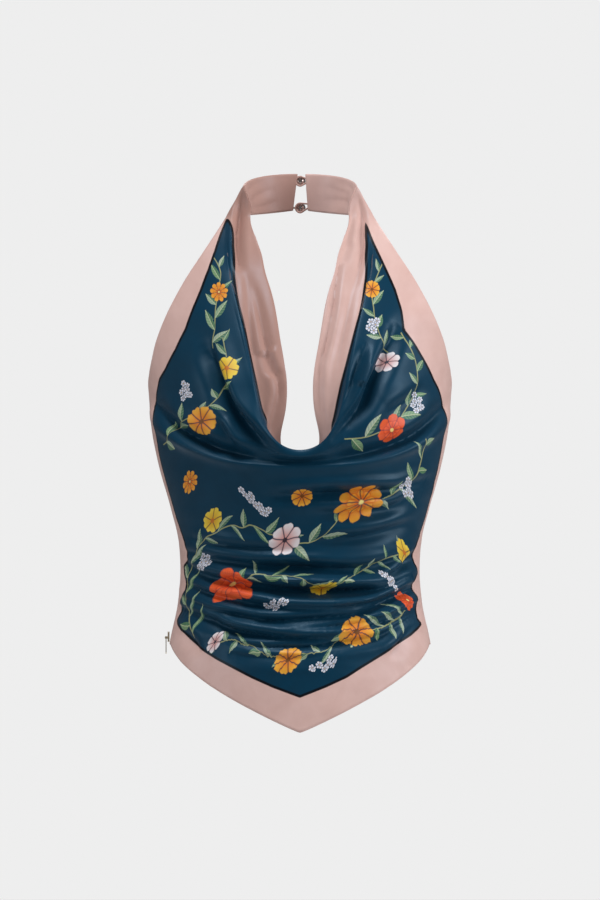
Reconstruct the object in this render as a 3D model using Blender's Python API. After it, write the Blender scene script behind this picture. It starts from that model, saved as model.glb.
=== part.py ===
"""A halter top with a cowl neck, filled out as if worn, with no wearer.

The front is one scarf-like panel: it runs from a pointed hem up to two straps, and its neck
edge folds over a soft rim and hangs inside. A low back panel joins it at the side seams, two
halves of a neckband button together behind the neck, and a zip closes the side seam at -X.
Sizes in the tables are millimetres. -Y is the front, +Z is up, and the origin is at the nape,
level with the inner face of the neckband.
"""
import math

import bmesh
import bpy
import numpy as np
from mathutils import Matrix

MM = 0.001

# Cloth
WALL = 1.2
BAND_WALL = 1.5
SEAM_GAP = 0.3

# The worn form, as level cuts: half an ellipse in front of the widest point, half behind it.
FIGURE_COLUMNS = ("height", "half_width", "front", "side", "back")
FIGURE = (
    (-530.0, 142.0, -183.0, -84.0, 22.0),
    (-440.0, 128.3, -174.0, -84.0, 12.0),
    (-399.0, 120.0, -169.0, -86.0, 2.0),
    (-370.0, 117.8, -168.0, -87.0, -2.0),
    (-345.0, 119.0, -171.0, -87.0, 0.0),
    (-308.0, 127.4, -179.0, -85.0, 8.0),
    (-266.0, 139.2, -190.0, -80.0, 20.0),
    (-228.0, 146.4, -197.0, -75.0, 28.0),
    (-188.0, 149.8, -192.0, -68.0, 32.0),
    (-160.0, 153.0, -182.0, -62.0, 33.0),
    (-121.0, 155.0, -163.0, -52.0, 30.0),
    (-86.0, 148.0, -140.0, -45.0, 24.0),
    (-54.0, 125.0, -116.0, -42.0, 14.0),
    (-20.0, 80.0, -86.0, -46.0, 4.0),
    (12.0, 62.0, -70.0, -50.0, 0.0),
)

# The front panel's swags, from the hem up to the neck edge. Each runs from its edge of the
# panel down to the middle of the front as a cubic curve: it leaves the edge towards the pull
# point and comes in level over the last stretch. Turns are degrees round the figure from the
# middle of the front, and proud is how far the cloth stands off the figure.
SWAG_COLUMNS = ("rows", "edge_turn", "edge_height", "pull_turn", "pull_height",
                "reach_turn", "middle_height", "edge_proud", "middle_proud")
SWAGS = (
    (0, 90.0, -442.0, 86.0, -424.0, 3.0, -528.0, 0.0, 0.0),
    (4, 90.0, -414.0, 46.0, -434.0, 7.5, -493.0, 0.0, 0.0),
    (8, 90.0, -388.0, 50.0, -404.0, 14.0, -452.0, 0.0, 0.0),
    (16, 90.0, -345.0, 50.0, -358.0, 25.0, -365.0, 0.0, 0.0),
    (12, 90.0, -264.0, 55.0, -285.0, 30.0, -291.0, 0.0, -1.0),
    (5, 90.0, -207.0, 55.0, -224.0, 58.0, -268.0, 0.0, 2.0),
    (2, 90.0, -193.0, 55.0, -212.0, 56.0, -262.0, 0.0, -3.5),
    (4, 54.7, -103.0, 31.0, -124.0, 30.0, -257.0, 0.0, 4.0),
    (3, 49.2, -54.1, 9.5, -68.0, 28.5, -250.8, 0.0, -1.0),
    (3, 61.1, -21.6, 3.0, -22.6, 29.0, -264.0, 0.0, -11.0),
    (5, 62.7, 8.9, -22.4, -39.7, 14.0, -284.0, 0.0, -26.0),
)
# How a swag's stand-off from the figure fades out from the middle to the edge.
PROUD_FADE = 1.6
# The free armhole edge, from the side of the bust up to the seam with the neckband.
ARMHOLE_COLUMNS = ("height", "out")
ARMHOLE = (
    (-230.0, 146.0),
    (-193.0, 149.7),
    (-177.0, 148.8),
    (-160.0, 145.7),
    (-145.6, 142.3),
    (-121.0, 133.0),
    (-85.6, 114.6),
    (-54.1, 94.2),
    (-21.6, 73.4),
    (-9.8, 66.8),
    (8.9, 56.6),
)
# Round these heights the neck edge is drawn apart, or in where out is below nought.
SPREAD_COLUMNS = ("out", "height", "reach")
SPREADS = (
    (11.6, -240.0, 28.0),
    (3.0, -200.0, 24.0),
    (5.6, -145.0, 42.0),
    (-3.0, -55.0, 16.0),
    (4.0, -25.0, 12.0),
)
SPREAD_TURN = 4.0
CURVE_SAMPLES = 200
HALF_COLUMNS = 18
# Columns crowd towards the panel's edges.
CROWDING = 0.35
# Near its seam with the neckband a strap turns back round the side of the neck.
SEAM_TOP = (56.6, 8.9)
SEAM_LOW = (48.6, -18.7)
SETBACK_TOP = 11.0
SETBACK_LOW = 23.0
SETBACK_REACH = 30.0

# The largest folds, each a trough along a curve through three points seen from the front.
FOLD_COLUMNS = ("out_1", "height_1", "out_2", "height_2", "out_3", "height_3", "width", "depth")
BODICE_FOLDS = (
    (-92.0, -140.0, -69.0, -205.0, -22.0, -255.0, 9.0, 6.5),
    (96.0, -125.0, 72.0, -184.0, 30.0, -245.0, 9.0, 6.5),
    (62.0, -135.0, 51.0, -186.0, 28.0, -232.0, 6.5, 4.0),
    (-142.0, -204.0, -118.0, -233.0, -66.0, -254.0, 7.0, 4.5),
    (140.0, -208.0, 120.0, -232.0, 68.0, -254.0, 7.0, 4.0),
    (-136.0, -232.0, -124.0, -258.0, -104.0, -286.0, 8.0, 2.5),
    (-40.0, -294.0, 56.0, -292.0, 128.0, -276.0, 7.5, 5.5),
    (25.0, -314.0, 80.0, -309.0, 124.0, -290.0, 7.0, 4.0),
    (20.0, -341.0, 64.0, -335.0, 118.0, -320.0, 7.0, 3.5),
    (-119.0, -346.0, -74.0, -359.0, -5.0, -366.0, 7.0, 4.0),
    (-20.0, -362.0, 48.0, -367.0, 118.0, -352.0, 7.0, 4.5),
    (-119.0, -358.0, -62.0, -382.0, 40.0, -388.0, 6.5, 5.0),
    (-10.0, -387.0, 58.0, -390.0, 118.0, -370.0, 6.5, 5.0),
    (-119.0, -380.0, -72.0, -396.0, -15.0, -405.0, 6.5, 4.0),
    (-15.0, -420.0, 56.0, -412.0, 120.0, -384.0, 6.5, 5.5),
    (-122.0, -405.0, -66.0, -429.0, 30.0, -438.0, 6.5, 5.5),
    (-20.0, -441.0, 56.0, -434.0, 123.0, -404.0, 6.5, 5.5),
)
STRIP_FOLDS = (
    (-42.0, -112.0, -22.0, -178.0, -29.0, -235.0, 7.0, 4.0),
    (45.0, -50.0, 30.0, -126.0, 22.0, -215.0, 7.0, 4.0),
)
FOLD_SAMPLES = 24
# Folds fade over this many columns at the panel's edges, and have a low ridge on either side.
FOLD_FADE = 2.6
RIDGE_SHARE = 0.3
RIDGE_PLACE = 2.0

# Back panel
BACK_HEM_DIP = 10.0
BACK_TOP_DIP = 109.0
BACK_TOP_CURVE = 1.3
BACK_COLUMNS = 28
BACK_SIDE_RADIUS = 65.0
BACK_ROWS = 14
SIDE_SEAM_HEM = -442.0
SIDE_SEAM_TOP = -207.0

# Neckband halves
BAND_STEPS = 16
BAND_ROWS = 4
BAND_START = 0.5
# Where a strap and the neckband fold over their seam, each wall is cut back on its inner side.
MITRE = 1.2
STRAP_COLUMNS = 4
BAND_TOP_TURN = 86.0
BAND_TOP_HALF_WIDTH = 56.3
BAND_LOW_TURN = 92.0
BAND_LOW_HALF_WIDTH = 49.5
BAND_DEPTH = 53.5
BAND_TOP_RISE = 12.7
BAND_LOW_RISE = 5.9
BAND_RISE_CURVE = 2.1
BAND_END_LEFT = -5.6
BAND_END_RIGHT = 6.9

# Ball buttons behind the neckband, and their loops
BUTTON_RADIUS = 5.2
BUTTON_OUT = 0.3
BUTTON_BACK = 5.9
# For each button: name, height of its ball, height where its loop leaves the band.
BUTTON_HEIGHTS = (("upper", 14.8, 15.2), ("lower", -11.6, -9.4))
BUTTON_SIDES = 14
BUTTON_RINGS = 9
SHANK_RADIUS = 0.9
SHANK_END = (-8.6, 2.05)
LOOP_RADIUS = 0.85
LOOP_BEND_RADIUS = 4.6
LOOP_BACK = 0.75
LOOP_PARTING = 1.7
LOOP_STEPS = 10
LOOP_FIRST_TURN = 80.0
LOOP_TURN_RANGE = 200.0

# Zip in the side seam at -X
ZIP_TOP = -232.0
COIL_HALF_WIDTH = 1.0
COIL_THICKNESS = 1.2
COIL_STEPS = 16
COIL_INSET = 1.0
COIL_HEM_GAP = 2.0
SLIDER_TOP = -430.0
SLIDER_BOTTOM = -440.0
SLIDER_WIDTH = 5.0
SLIDER_THICKNESS = 1.8
PIN_HEIGHT = -435.8
PIN_RADIUS = 0.5
EYE_CLEARANCE = 0.3
EYE_RADIUS = 1.3
EAR_THICKNESS = 0.8
EYE_WIDTH = 2.2
PULL_LENGTH = 16.0
PULL_WIDTH = 3.6
PULL_THICKNESS = 0.9
PULL_NECK_HALF_WIDTH = 1.0
PULL_NECK_TOP = 0.95
PULL_NECK_END = 3.0
EAR_HALF_HEIGHT = 1.2
EAR_OUT = 1.0
EAR_ROOT = 0.6
ROUND_SIDES = 12
EYE_SIDES = 14
TAB_STEPS = 8


def clear_scene():
    for item in list(bpy.data.objects):
        bpy.data.objects.remove(item, do_unlink=True)


def column(table, names, name):
    return np.array([row[names.index(name)] for row in table])


def level_slopes(knots, values):
    """Slopes at the knots of a curve that never swings past its values."""
    rise = np.diff(values, axis=0) / np.diff(knots).reshape((-1,) + (1,) * (values.ndim - 1))
    product = rise[:-1] * rise[1:]
    total = np.where(product > 0.0, rise[:-1] + rise[1:], 1.0)
    middle = np.where(product > 0.0, 2.0 * product / total, 0.0)
    return np.concatenate([rise[:1], middle, rise[-1:]])


def smooth(place, knots, values):
    """Cubic curve through values at rising knots, read at each place."""
    slopes = level_slopes(knots, values)
    span = np.clip(np.searchsorted(knots, place) - 1, 0, len(knots) - 2)
    width = knots[span + 1] - knots[span]
    part = (place - knots[span]) / width
    if values.ndim > 1:
        part = part[:, None]
        width = width[:, None]
    rise = part * part * (3.0 - 2.0 * part)
    start = part * (1.0 - part) ** 2 * width
    end = -part * part * (1.0 - part) * width
    return (values[span] * (1.0 - rise) + values[span + 1] * rise
            + slopes[span] * start + slopes[span + 1] * end)


def figure(name, height):
    heights = column(FIGURE, FIGURE_COLUMNS, "height")
    flat = np.clip(np.ravel(height), heights[0], heights[-1])
    read = smooth(flat, heights, column(FIGURE, FIGURE_COLUMNS, name))
    return read.reshape(np.shape(height))


def on_figure(turn, height, proud):
    """Point at a turn in degrees and a height, standing proud of the worn form."""
    half_width = figure("half_width", height)
    side = figure("side", height)
    front_depth = side - figure("front", height)
    back_depth = figure("back", height) - side
    angle = np.radians(turn)
    depth = np.where(np.cos(angle) >= 0.0, front_depth, back_depth)
    across = np.sin(angle) / half_width
    along = -np.cos(angle) / depth
    size = np.hypot(across, along)
    x = half_width * np.sin(angle) + proud * across / size
    y = side - depth * np.cos(angle) + proud * along / size
    return np.stack([x, y, height + 0.0 * x], axis=-1)


def crowded(count):
    """Shares 0 to 1 of a length, closer together towards 1."""
    even = np.linspace(0.0, 1.0, count)
    return even * (1.0 + CROWDING) - CROWDING * even ** 2


def column_places(points, count):
    """Places 0 to 1 along a chain of points, at crowded shares of its length."""
    steps = np.linalg.norm(np.diff(points, axis=0), axis=1)
    length = np.concatenate([[0.0], np.cumsum(steps)])
    share = crowded(count)
    wanted = share * (length[-1] - SEAM_GAP / 2.0)
    return np.interp(wanted, length, np.linspace(0.0, 1.0, len(points)))


def half_swag(swag):
    """Turn, height and proud of one swag, in steps from the middle to its edge."""
    named = dict(zip(SWAG_COLUMNS, swag))

    def curve(place):
        near = 1.0 - place
        ends = place ** 3
        pull = 3.0 * near * place ** 2
        reach = 3.0 * near ** 2 * place
        turn = ends * named["edge_turn"] + pull * named["pull_turn"] + reach * named["reach_turn"]
        height = (ends * named["edge_height"] + pull * named["pull_height"]
                  + (reach + near ** 3) * named["middle_height"])
        return turn, height

    turn, height = curve(np.linspace(0.0, 1.0, CURVE_SAMPLES))
    places = column_places(on_figure(turn, height, 0.0), HALF_COLUMNS + 1)
    turn, height = curve(places)
    share = crowded(HALF_COLUMNS + 1)
    gain = named["middle_proud"] - named["edge_proud"]
    proud = named["edge_proud"] + gain * (1.0 - share) ** PROUD_FADE
    return np.stack([turn, height, proud], axis=-1)


def fold_depth(points, folds):
    """How deep all the folds press the cloth in, at points seen from the front."""
    total = np.zeros(len(points))
    for fold in folds:
        named = dict(zip(FOLD_COLUMNS, fold))
        first = np.array([named["out_1"], named["height_1"]])
        middle = np.array([named["out_2"], named["height_2"]])
        last = np.array([named["out_3"], named["height_3"]])
        handle = 2.0 * middle - (first + last) / 2.0
        place = np.linspace(0.0, 1.0, FOLD_SAMPLES)[:, None]
        line = (1 - place) ** 2 * first + 2 * place * (1 - place) * handle + place ** 2 * last
        gap = np.linalg.norm(points[:, None, :] - line[None, :, :], axis=2)
        nearest = gap.argmin(axis=1)
        fade = np.sin(math.pi * (nearest + 0.5) / FOLD_SAMPLES)
        reach = gap.min(axis=1) / named["width"]
        trough = np.exp(-reach ** 2) - RIDGE_SHARE * np.exp(-(reach - RIDGE_PLACE) ** 2)
        total += named["depth"] * fade * trough
    return total


def follow_armhole(half, rows):
    """Draw the outer ends of some rows to the armhole edge, and less so towards the middle."""
    heights = column(ARMHOLE, ARMHOLE_COLUMNS, "height")
    edge_height = half[rows, -1, 1]
    out = smooth(edge_height, heights, column(ARMHOLE, ARMHOLE_COLUMNS, "out"))
    edge_turn = np.degrees(np.arcsin(np.minimum(out / figure("half_width", edge_height), 1.0)))
    share = crowded(half.shape[1])[None, :]
    half[rows, :, 0] += (edge_turn - half[rows, -1, 0])[:, None] * share ** 2
    return half


def front_grid():
    """Rows of points from the hem to the neck edge, each from the -X edge to the +X edge."""
    places = np.cumsum(column(SWAGS, SWAG_COLUMNS, "rows")).astype(float)
    halves = np.array([half_swag(swag) for swag in SWAGS])
    fine = np.arange(places[-1] + 1.0)
    half = smooth(fine, places, halves.reshape(len(SWAGS), -1)).reshape(len(fine), -1, 3)
    half = follow_armhole(half, fine > places[-5])
    left = half[:, ::-1] * np.array([-1.0, 1.0, 1.0])
    whole = np.concatenate([left, half[:, 1:]], axis=1)
    turn, height, proud = whole[..., 0], whole[..., 1], whole[..., 2]
    rim_place, inner_place = places[-3], places[-2]
    row = np.broadcast_to(fine[:, None], turn.shape)
    inside = np.clip((row - inner_place) / (places[-1] - inner_place), 0.0, 1.0)
    points = on_figure(turn, height, 0.0)
    seen = points[..., [0, 2]].reshape(-1, 2)
    bodice = fold_depth(seen, BODICE_FOLDS).reshape(turn.shape)
    strip = fold_depth(seen, STRIP_FOLDS).reshape(turn.shape)
    on_bodice = np.clip(rim_place - row, 0.0, 1.0)
    on_strip = np.sin(math.pi * np.clip((row - rim_place) / (places[-1] - rim_place), 0.0, 1.0))
    step = np.abs(np.arange(turn.shape[1]) - HALF_COLUMNS)[None, :]
    free = np.clip((HALF_COLUMNS - step) / FOLD_FADE, 0.0, 1.0)
    proud = proud - (bodice * on_bodice + strip * on_strip) * free
    apart = inside * sum(
        out * np.exp(-((height - at) / reach) ** 2) for out, at, reach in SPREADS
    )
    middle = np.clip(np.abs(turn) / SPREAD_TURN, 0.0, 1.0)
    points = on_figure(turn, height, proud)
    points[..., 0] += np.sign(turn) * apart * middle
    points[..., 1] += strap_setback(points)
    return points


def strap_setback(points):
    """How far points near the strap ends lie back round the side of the neck."""
    seen = np.stack([np.abs(points[..., 0]), points[..., 2]], axis=-1)
    low = np.array(SEAM_LOW)
    run = np.array(SEAM_TOP) - low
    along = np.clip(((seen - low) @ run) / (run @ run), 0.0, 1.0)
    gap = np.linalg.norm(seen - low - along[..., None] * run, axis=-1)
    amount = SETBACK_LOW + (SETBACK_TOP - SETBACK_LOW) * along
    return amount * np.exp(-(gap / SETBACK_REACH) ** 2)


def back_grid():
    """Rows of points from the back hem to its top, from the +X side seam to the -X one."""
    gap = math.degrees(SEAM_GAP / 2.0 / BACK_SIDE_RADIUS)
    turn = np.linspace(90.0 + gap, 270.0 - gap, BACK_COLUMNS + 1)[None, :]
    middle = np.sin(np.radians(turn - 90.0))
    rise = np.linspace(0.0, 1.0, BACK_ROWS + 1)[:, None]
    hem = SIDE_SEAM_HEM - BACK_HEM_DIP * middle ** 2
    top = SIDE_SEAM_TOP - BACK_TOP_DIP * middle ** BACK_TOP_CURVE
    height = hem + (top - hem) * rise
    return on_figure(turn + 0.0 * height, height, 0.0 * height)


def surface_normals(grid):
    across = np.gradient(grid, axis=1)
    along = np.gradient(grid, axis=0)
    return unit(np.cross(across, along))


def add_object(name, mesh, material):
    mesh.materials.append(material)
    item = bpy.data.objects.new(name, mesh)
    bpy.context.collection.objects.link(item)
    return item


def unit(vectors):
    return vectors / np.linalg.norm(vectors, axis=-1, keepdims=True)


def cloth_wall(outer, wall):
    """Inner points of a wall of cloth under a grid of outer points."""
    return outer - wall * surface_normals(outer)


def cloth_panel(name, outer, inner, material):
    """Close a grid of outer points and one of inner points into a wall of cloth."""
    rows, columns = outer.shape[:2]
    index = np.arange(rows * columns).reshape(rows, columns)
    below = index + rows * columns
    faces = []
    for row in range(rows - 1):
        for place in range(columns - 1):
            low, low_next = index[row, place:place + 2]
            high, high_next = index[row + 1, place:place + 2]
            for corners in ((low, low_next, high_next), (low, high_next, high)):
                faces.append(corners)
                faces.append(tuple(below.flat[corner] for corner in reversed(corners)))
    loop = np.concatenate([index[0, :-1], index[:-1, -1], index[-1, :0:-1], index[:0:-1, 0]])
    under = np.concatenate([below[0, :-1], below[:-1, -1], below[-1, :0:-1], below[:0:-1, 0]])
    for place in range(len(loop)):
        after = (place + 1) % len(loop)
        faces.append((loop[place], under[place], under[after], loop[after]))
    points = np.concatenate([outer.reshape(-1, 3), inner.reshape(-1, 3)]) * MM
    mesh = bpy.data.meshes.new(name)
    mesh.from_pydata(points.tolist(), [], [[int(corner) for corner in face] for face in faces])
    mesh.shade_smooth()
    return add_object(name, mesh, material)


def band_line(start, turn, half_width, up, end, side):
    """A line along a neckband half, from its seam with the strap round to its button end."""
    share = np.linspace(0.0, 1.0, 2 * CURVE_SAMPLES)
    angle = np.radians(turn) * (1.0 - share)
    x = side * half_width * np.sin(angle)
    y = BAND_WALL - BAND_DEPTH + BAND_DEPTH * np.cos(angle)
    low_rise = BAND_LOW_RISE * share ** 2
    top_rise = BAND_TOP_RISE * (1.0 - (1.0 - share) ** BAND_RISE_CURVE)
    line = np.stack([x, y, start[2] + low_rise + (top_rise - low_rise) * up], axis=-1)
    line += (start - line[0]) * (1.0 - share[:, None]) ** 3
    line = line[side * line[:, 0] >= side * end]
    steps = np.concatenate([[0.0], np.cumsum(np.linalg.norm(np.diff(line, axis=0), axis=1))])
    wanted = np.linspace(BAND_START, steps[-1], BAND_STEPS + 1)
    return np.stack([np.interp(wanted, steps, line[:, axis]) for axis in range(3)], axis=-1)


def neckband(name, side, end, front, material):
    """A neckband half that starts along the strap end, the first stretch of the neck edge."""
    neck_edge = front[-1, :HALF_COLUMNS] if side < 0 else front[-1, :HALF_COLUMNS:-1]
    heights = np.linspace(SEAM_LOW[1], neck_edge[0, 2], BAND_ROWS + 1)
    starts = np.stack([np.interp(-heights, -neck_edge[:, 2], neck_edge[:, axis])
                       for axis in range(3)], axis=-1)
    share = np.linspace(0.0, 1.0, BAND_ROWS + 1)
    lines = []
    for start, up in zip(starts, share):
        turn = BAND_LOW_TURN + (BAND_TOP_TURN - BAND_LOW_TURN) * up
        half_width = BAND_LOW_HALF_WIDTH + (BAND_TOP_HALF_WIDTH - BAND_LOW_HALF_WIDTH) * up
        lines.append(band_line(start, turn, half_width, up, end, side))
    grid = np.array(lines)
    if side < 0:
        grid = grid[:, ::-1]
    inner = cloth_wall(grid, BAND_WALL)
    seam = 0 if side > 0 else -1
    after = 1 if side > 0 else -2
    inner[:, seam] += MITRE * unit(grid[:, after] - grid[:, seam])
    return cloth_panel(name, grid, inner, material)


def turned(name, profile, sides, material):
    """Closed turned solid: profile rows of (radius, height), radius 0 at both ends."""
    mesh = bpy.data.meshes.new(name)
    body = bmesh.new()
    rings = []
    for radius, height in profile:
        if radius == 0.0:
            rings.append([body.verts.new((0.0, 0.0, height * MM))])
            continue
        angles = [2.0 * math.pi * step / sides for step in range(sides)]
        rings.append([body.verts.new((radius * math.cos(angle) * MM,
                                      radius * math.sin(angle) * MM, height * MM))
                      for angle in angles])
    for low, high in zip(rings, rings[1:]):
        for step in range(sides):
            after = (step + 1) % sides
            if len(low) == 1:
                body.faces.new((low[0], high[after], high[step]))
            elif len(high) == 1:
                body.faces.new((low[step], low[after], high[0]))
            else:
                body.faces.new((low[step], low[after], high[after], high[step]))
    bmesh.ops.recalc_face_normals(body, faces=body.faces)
    body.to_mesh(mesh)
    body.free()
    mesh.shade_smooth()
    return add_object(name, mesh, material)


def button(name, height, material):
    """Ball button on a shank that reaches the outer face of the -X neckband half."""
    reach = math.hypot(SHANK_END[0] - BUTTON_OUT, SHANK_END[1] - BUTTON_BACK)
    neck = -math.sqrt(BUTTON_RADIUS ** 2 - SHANK_RADIUS ** 2)
    neck_angle = math.acos(-neck / BUTTON_RADIUS)
    profile = [(0.0, -reach), (SHANK_RADIUS, -reach)]
    for step in range(BUTTON_RINGS):
        angle = neck_angle + (math.pi - neck_angle) * step / BUTTON_RINGS
        profile.append((BUTTON_RADIUS * math.sin(angle), -BUTTON_RADIUS * math.cos(angle)))
    profile.append((0.0, BUTTON_RADIUS))
    ball = turned(name, profile, BUTTON_SIDES, material)
    ball.location = (BUTTON_OUT * MM, BUTTON_BACK * MM, height * MM)
    heading = math.atan2(BUTTON_BACK - SHANK_END[1], BUTTON_OUT - SHANK_END[0])
    ball.rotation_euler = (0.0, math.pi / 2.0, heading)
    return ball


def button_loop(name, height, end_height, material):
    """Rouleau loop from the +X neckband half round the front of its button."""
    inset = BAND_END_RIGHT - SEAM_GAP - LOOP_RADIUS / 2.0
    points = [(inset, end_height + LOOP_PARTING)]
    for step in range(LOOP_STEPS + 1):
        angle = math.radians(LOOP_FIRST_TURN + LOOP_TURN_RANGE * step / LOOP_STEPS)
        points.append((BUTTON_OUT + LOOP_BEND_RADIUS * math.cos(angle),
                       height + LOOP_BEND_RADIUS * math.sin(angle)))
    points.append((inset, end_height - LOOP_PARTING))
    curve = bpy.data.curves.new(name, "CURVE")
    curve.dimensions = "3D"
    curve.bevel_depth = LOOP_RADIUS * MM
    curve.bevel_resolution = 2
    curve.use_fill_caps = True
    spline = curve.splines.new("POLY")
    spline.points.add(len(points) - 1)
    for knot, (out, up) in zip(spline.points, points):
        knot.co = (out * MM, LOOP_BACK * MM, up * MM, 1.0)
    return add_object(name, curve, material)


def box(low, high):
    """Corner points and faces of a box, in millimetres."""
    corners = [(x, y, z) for z in (low[2], high[2]) for y in (low[1], high[1])
               for x in (low[0], high[0])]
    faces = [(0, 2, 3, 1), (4, 5, 7, 6), (0, 1, 5, 4), (2, 6, 7, 3), (0, 4, 6, 2), (1, 3, 7, 5)]
    return corners, faces


def side_seam(height):
    """Outer point of the -X side seam."""
    return -float(figure("half_width", height)), float(figure("side", height))


def zip_coil(name, material):
    """Coil of the closed zip: a flat strip behind the side seam, against both panels."""
    bottom = SIDE_SEAM_HEM + COIL_HEM_GAP
    corners = []
    faces = []
    for step in range(COIL_STEPS + 1):
        height = bottom + (ZIP_TOP - bottom) * step / COIL_STEPS
        out, along = side_seam(height)
        near = out + WALL + COIL_INSET
        far = near + COIL_THICKNESS
        corners += [(near, along - COIL_HALF_WIDTH, height), (near, along + COIL_HALF_WIDTH, height),
                    (far, along + COIL_HALF_WIDTH, height), (far, along - COIL_HALF_WIDTH, height)]
    for step in range(COIL_STEPS):
        base = 4 * step
        for place in range(4):
            after = (place + 1) % 4
            faces.append((base + place, base + after, base + 4 + after, base + 4 + place))
    last = 4 * COIL_STEPS
    faces += [(0, 3, 2, 1), (last, last + 1, last + 2, last + 3)]
    mesh = bpy.data.meshes.new(name)
    mesh.from_pydata((np.array(corners) * MM).tolist(), [], faces)
    coil = add_object(name, mesh, material)
    fix_normals(mesh)
    return coil


def fix_normals(mesh):
    body = bmesh.new()
    body.from_mesh(mesh)
    bmesh.ops.recalc_face_normals(body, faces=body.faces)
    body.to_mesh(mesh)
    body.free()


def slider_face():
    """How far out the slider's outer face lies, clear of the cloth all along its height."""
    widest = max(-side_seam(SLIDER_TOP)[0], -side_seam(SLIDER_BOTTOM)[0])
    return -(widest + SEAM_GAP + SLIDER_THICKNESS)


def pin_place():
    """Middle of the pin that the pull swings on."""
    return slider_face() - EYE_RADIUS - EYE_CLEARANCE, side_seam(PIN_HEIGHT)[1], PIN_HEIGHT


def cylinder(name, radius, width, place, sides):
    """Plain cylinder along Y, as a hidden guide for Booleans."""
    body = bmesh.new()
    bmesh.ops.create_cone(body, cap_ends=True, segments=sides, radius1=radius * MM,
                          radius2=radius * MM, depth=width * MM)
    bmesh.ops.rotate(body, verts=body.verts, cent=(0, 0, 0),
                     matrix=Matrix.Rotation(math.pi / 2.0, 3, "X"))
    bmesh.ops.translate(body, verts=body.verts, vec=[value * MM for value in place])
    mesh = bpy.data.meshes.new(name)
    body.to_mesh(mesh)
    body.free()
    fix_normals(mesh)
    guide = bpy.data.objects.new(name, mesh)
    bpy.context.collection.objects.link(guide)
    guide.hide_render = True
    guide.display_type = "WIRE"
    return guide


def box_mesh(name, low, high):
    corners, faces = box(low, high)
    mesh = bpy.data.meshes.new(name)
    mesh.from_pydata([[value * MM for value in corner] for corner in corners], [], faces)
    fix_normals(mesh)
    return mesh


def guide_box(name, low, high):
    guide = bpy.data.objects.new(name, box_mesh(name, low, high))
    bpy.context.collection.objects.link(guide)
    guide.hide_render = True
    guide.display_type = "WIRE"
    return guide


def combine(item, guide, operation):
    step = item.modifiers.new(guide.name, "BOOLEAN")
    step.operation = operation
    step.object = guide


def zip_slider(name, material):
    """Slider over the seam, with two ears that carry the pin."""
    out, along, height = pin_place()
    face = slider_face()
    half = SLIDER_WIDTH / 2.0
    mesh = box_mesh(name, (face, along - half, SLIDER_BOTTOM),
                    (face + SLIDER_THICKNESS, along + half, SLIDER_TOP))
    slider = add_object(name, mesh, material)
    inner = EYE_WIDTH / 2.0 + EYE_CLEARANCE
    for label, sign in (("front", -1.0), ("back", 1.0)):
        near, far = sorted((sign * inner, sign * (inner + EAR_THICKNESS)))
        ear = guide_box("ear_" + label, (out - EAR_OUT, along + near, height - EAR_HALF_HEIGHT),
                        (face + EAR_ROOT, along + far, height + EAR_HALF_HEIGHT))
        combine(slider, ear, "UNION")
    pin = cylinder("pin", PIN_RADIUS, 2.0 * inner + EAR_THICKNESS, (out, along, height),
                   ROUND_SIDES)
    combine(slider, pin, "UNION")
    return slider


def zip_pull(name, material):
    """Tab with an eye round the pin; its origin is on the pin's axis."""
    eye = []
    for step in range(EYE_SIDES):
        angle = 2.0 * math.pi * step / EYE_SIDES
        eye.append((EYE_RADIUS * math.cos(angle), EYE_RADIUS * math.sin(angle)))
    body = bmesh.new()
    half = EYE_WIDTH / 2.0
    rings = [[body.verts.new((x * MM, side * half * MM, z * MM)) for x, z in eye]
             for side in (-1, 1)]
    for step in range(EYE_SIDES):
        after = (step + 1) % EYE_SIDES
        body.faces.new((rings[0][step], rings[0][after], rings[1][after], rings[1][step]))
    body.faces.new(rings[0])
    body.faces.new(rings[1])
    bmesh.ops.recalc_face_normals(body, faces=body.faces)
    mesh = bpy.data.meshes.new(name)
    body.to_mesh(mesh)
    body.free()
    pull = add_object(name, mesh, material)
    out, along, height = pin_place()
    pull.location = (out * MM, along * MM, height * MM)
    tab = tab_guide("pull_tab_shape")
    tab.location = pull.location
    combine(pull, tab, "UNION")
    bore = cylinder("pull_bore", PIN_RADIUS + EYE_CLEARANCE, 2.0 * EYE_WIDTH,
                    (out, along, height), ROUND_SIDES)
    combine(pull, bore, "DIFFERENCE")
    return pull


def tab_guide(name):
    """Flat tab that widens downwards and ends round."""
    outline = [(-PULL_NECK_HALF_WIDTH, -PULL_NECK_TOP), (-PULL_NECK_HALF_WIDTH, -PULL_NECK_END)]
    round_centre = -PULL_LENGTH + PULL_WIDTH / 2.0
    for step in range(TAB_STEPS + 1):
        angle = math.pi + math.pi * step / TAB_STEPS
        outline.append((PULL_WIDTH / 2.0 * math.cos(angle),
                        round_centre + PULL_WIDTH / 2.0 * math.sin(angle)))
    outline += [(PULL_NECK_HALF_WIDTH, -PULL_NECK_END), (PULL_NECK_HALF_WIDTH, -PULL_NECK_TOP)]
    body = bmesh.new()
    half = PULL_THICKNESS / 2.0
    sheets = [[body.verts.new((side * half * MM, along * MM, up * MM)) for along, up in outline]
              for side in (-1, 1)]
    for step in range(len(outline)):
        after = (step + 1) % len(outline)
        body.faces.new((sheets[0][step], sheets[0][after], sheets[1][after], sheets[1][step]))
    body.faces.new(sheets[0])
    body.faces.new(sheets[1])
    bmesh.ops.recalc_face_normals(body, faces=body.faces)
    mesh = bpy.data.meshes.new(name)
    body.to_mesh(mesh)
    body.free()
    guide = bpy.data.objects.new(name, mesh)
    bpy.context.collection.objects.link(guide)
    guide.hide_render = True
    guide.display_type = "WIRE"
    return guide


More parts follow.
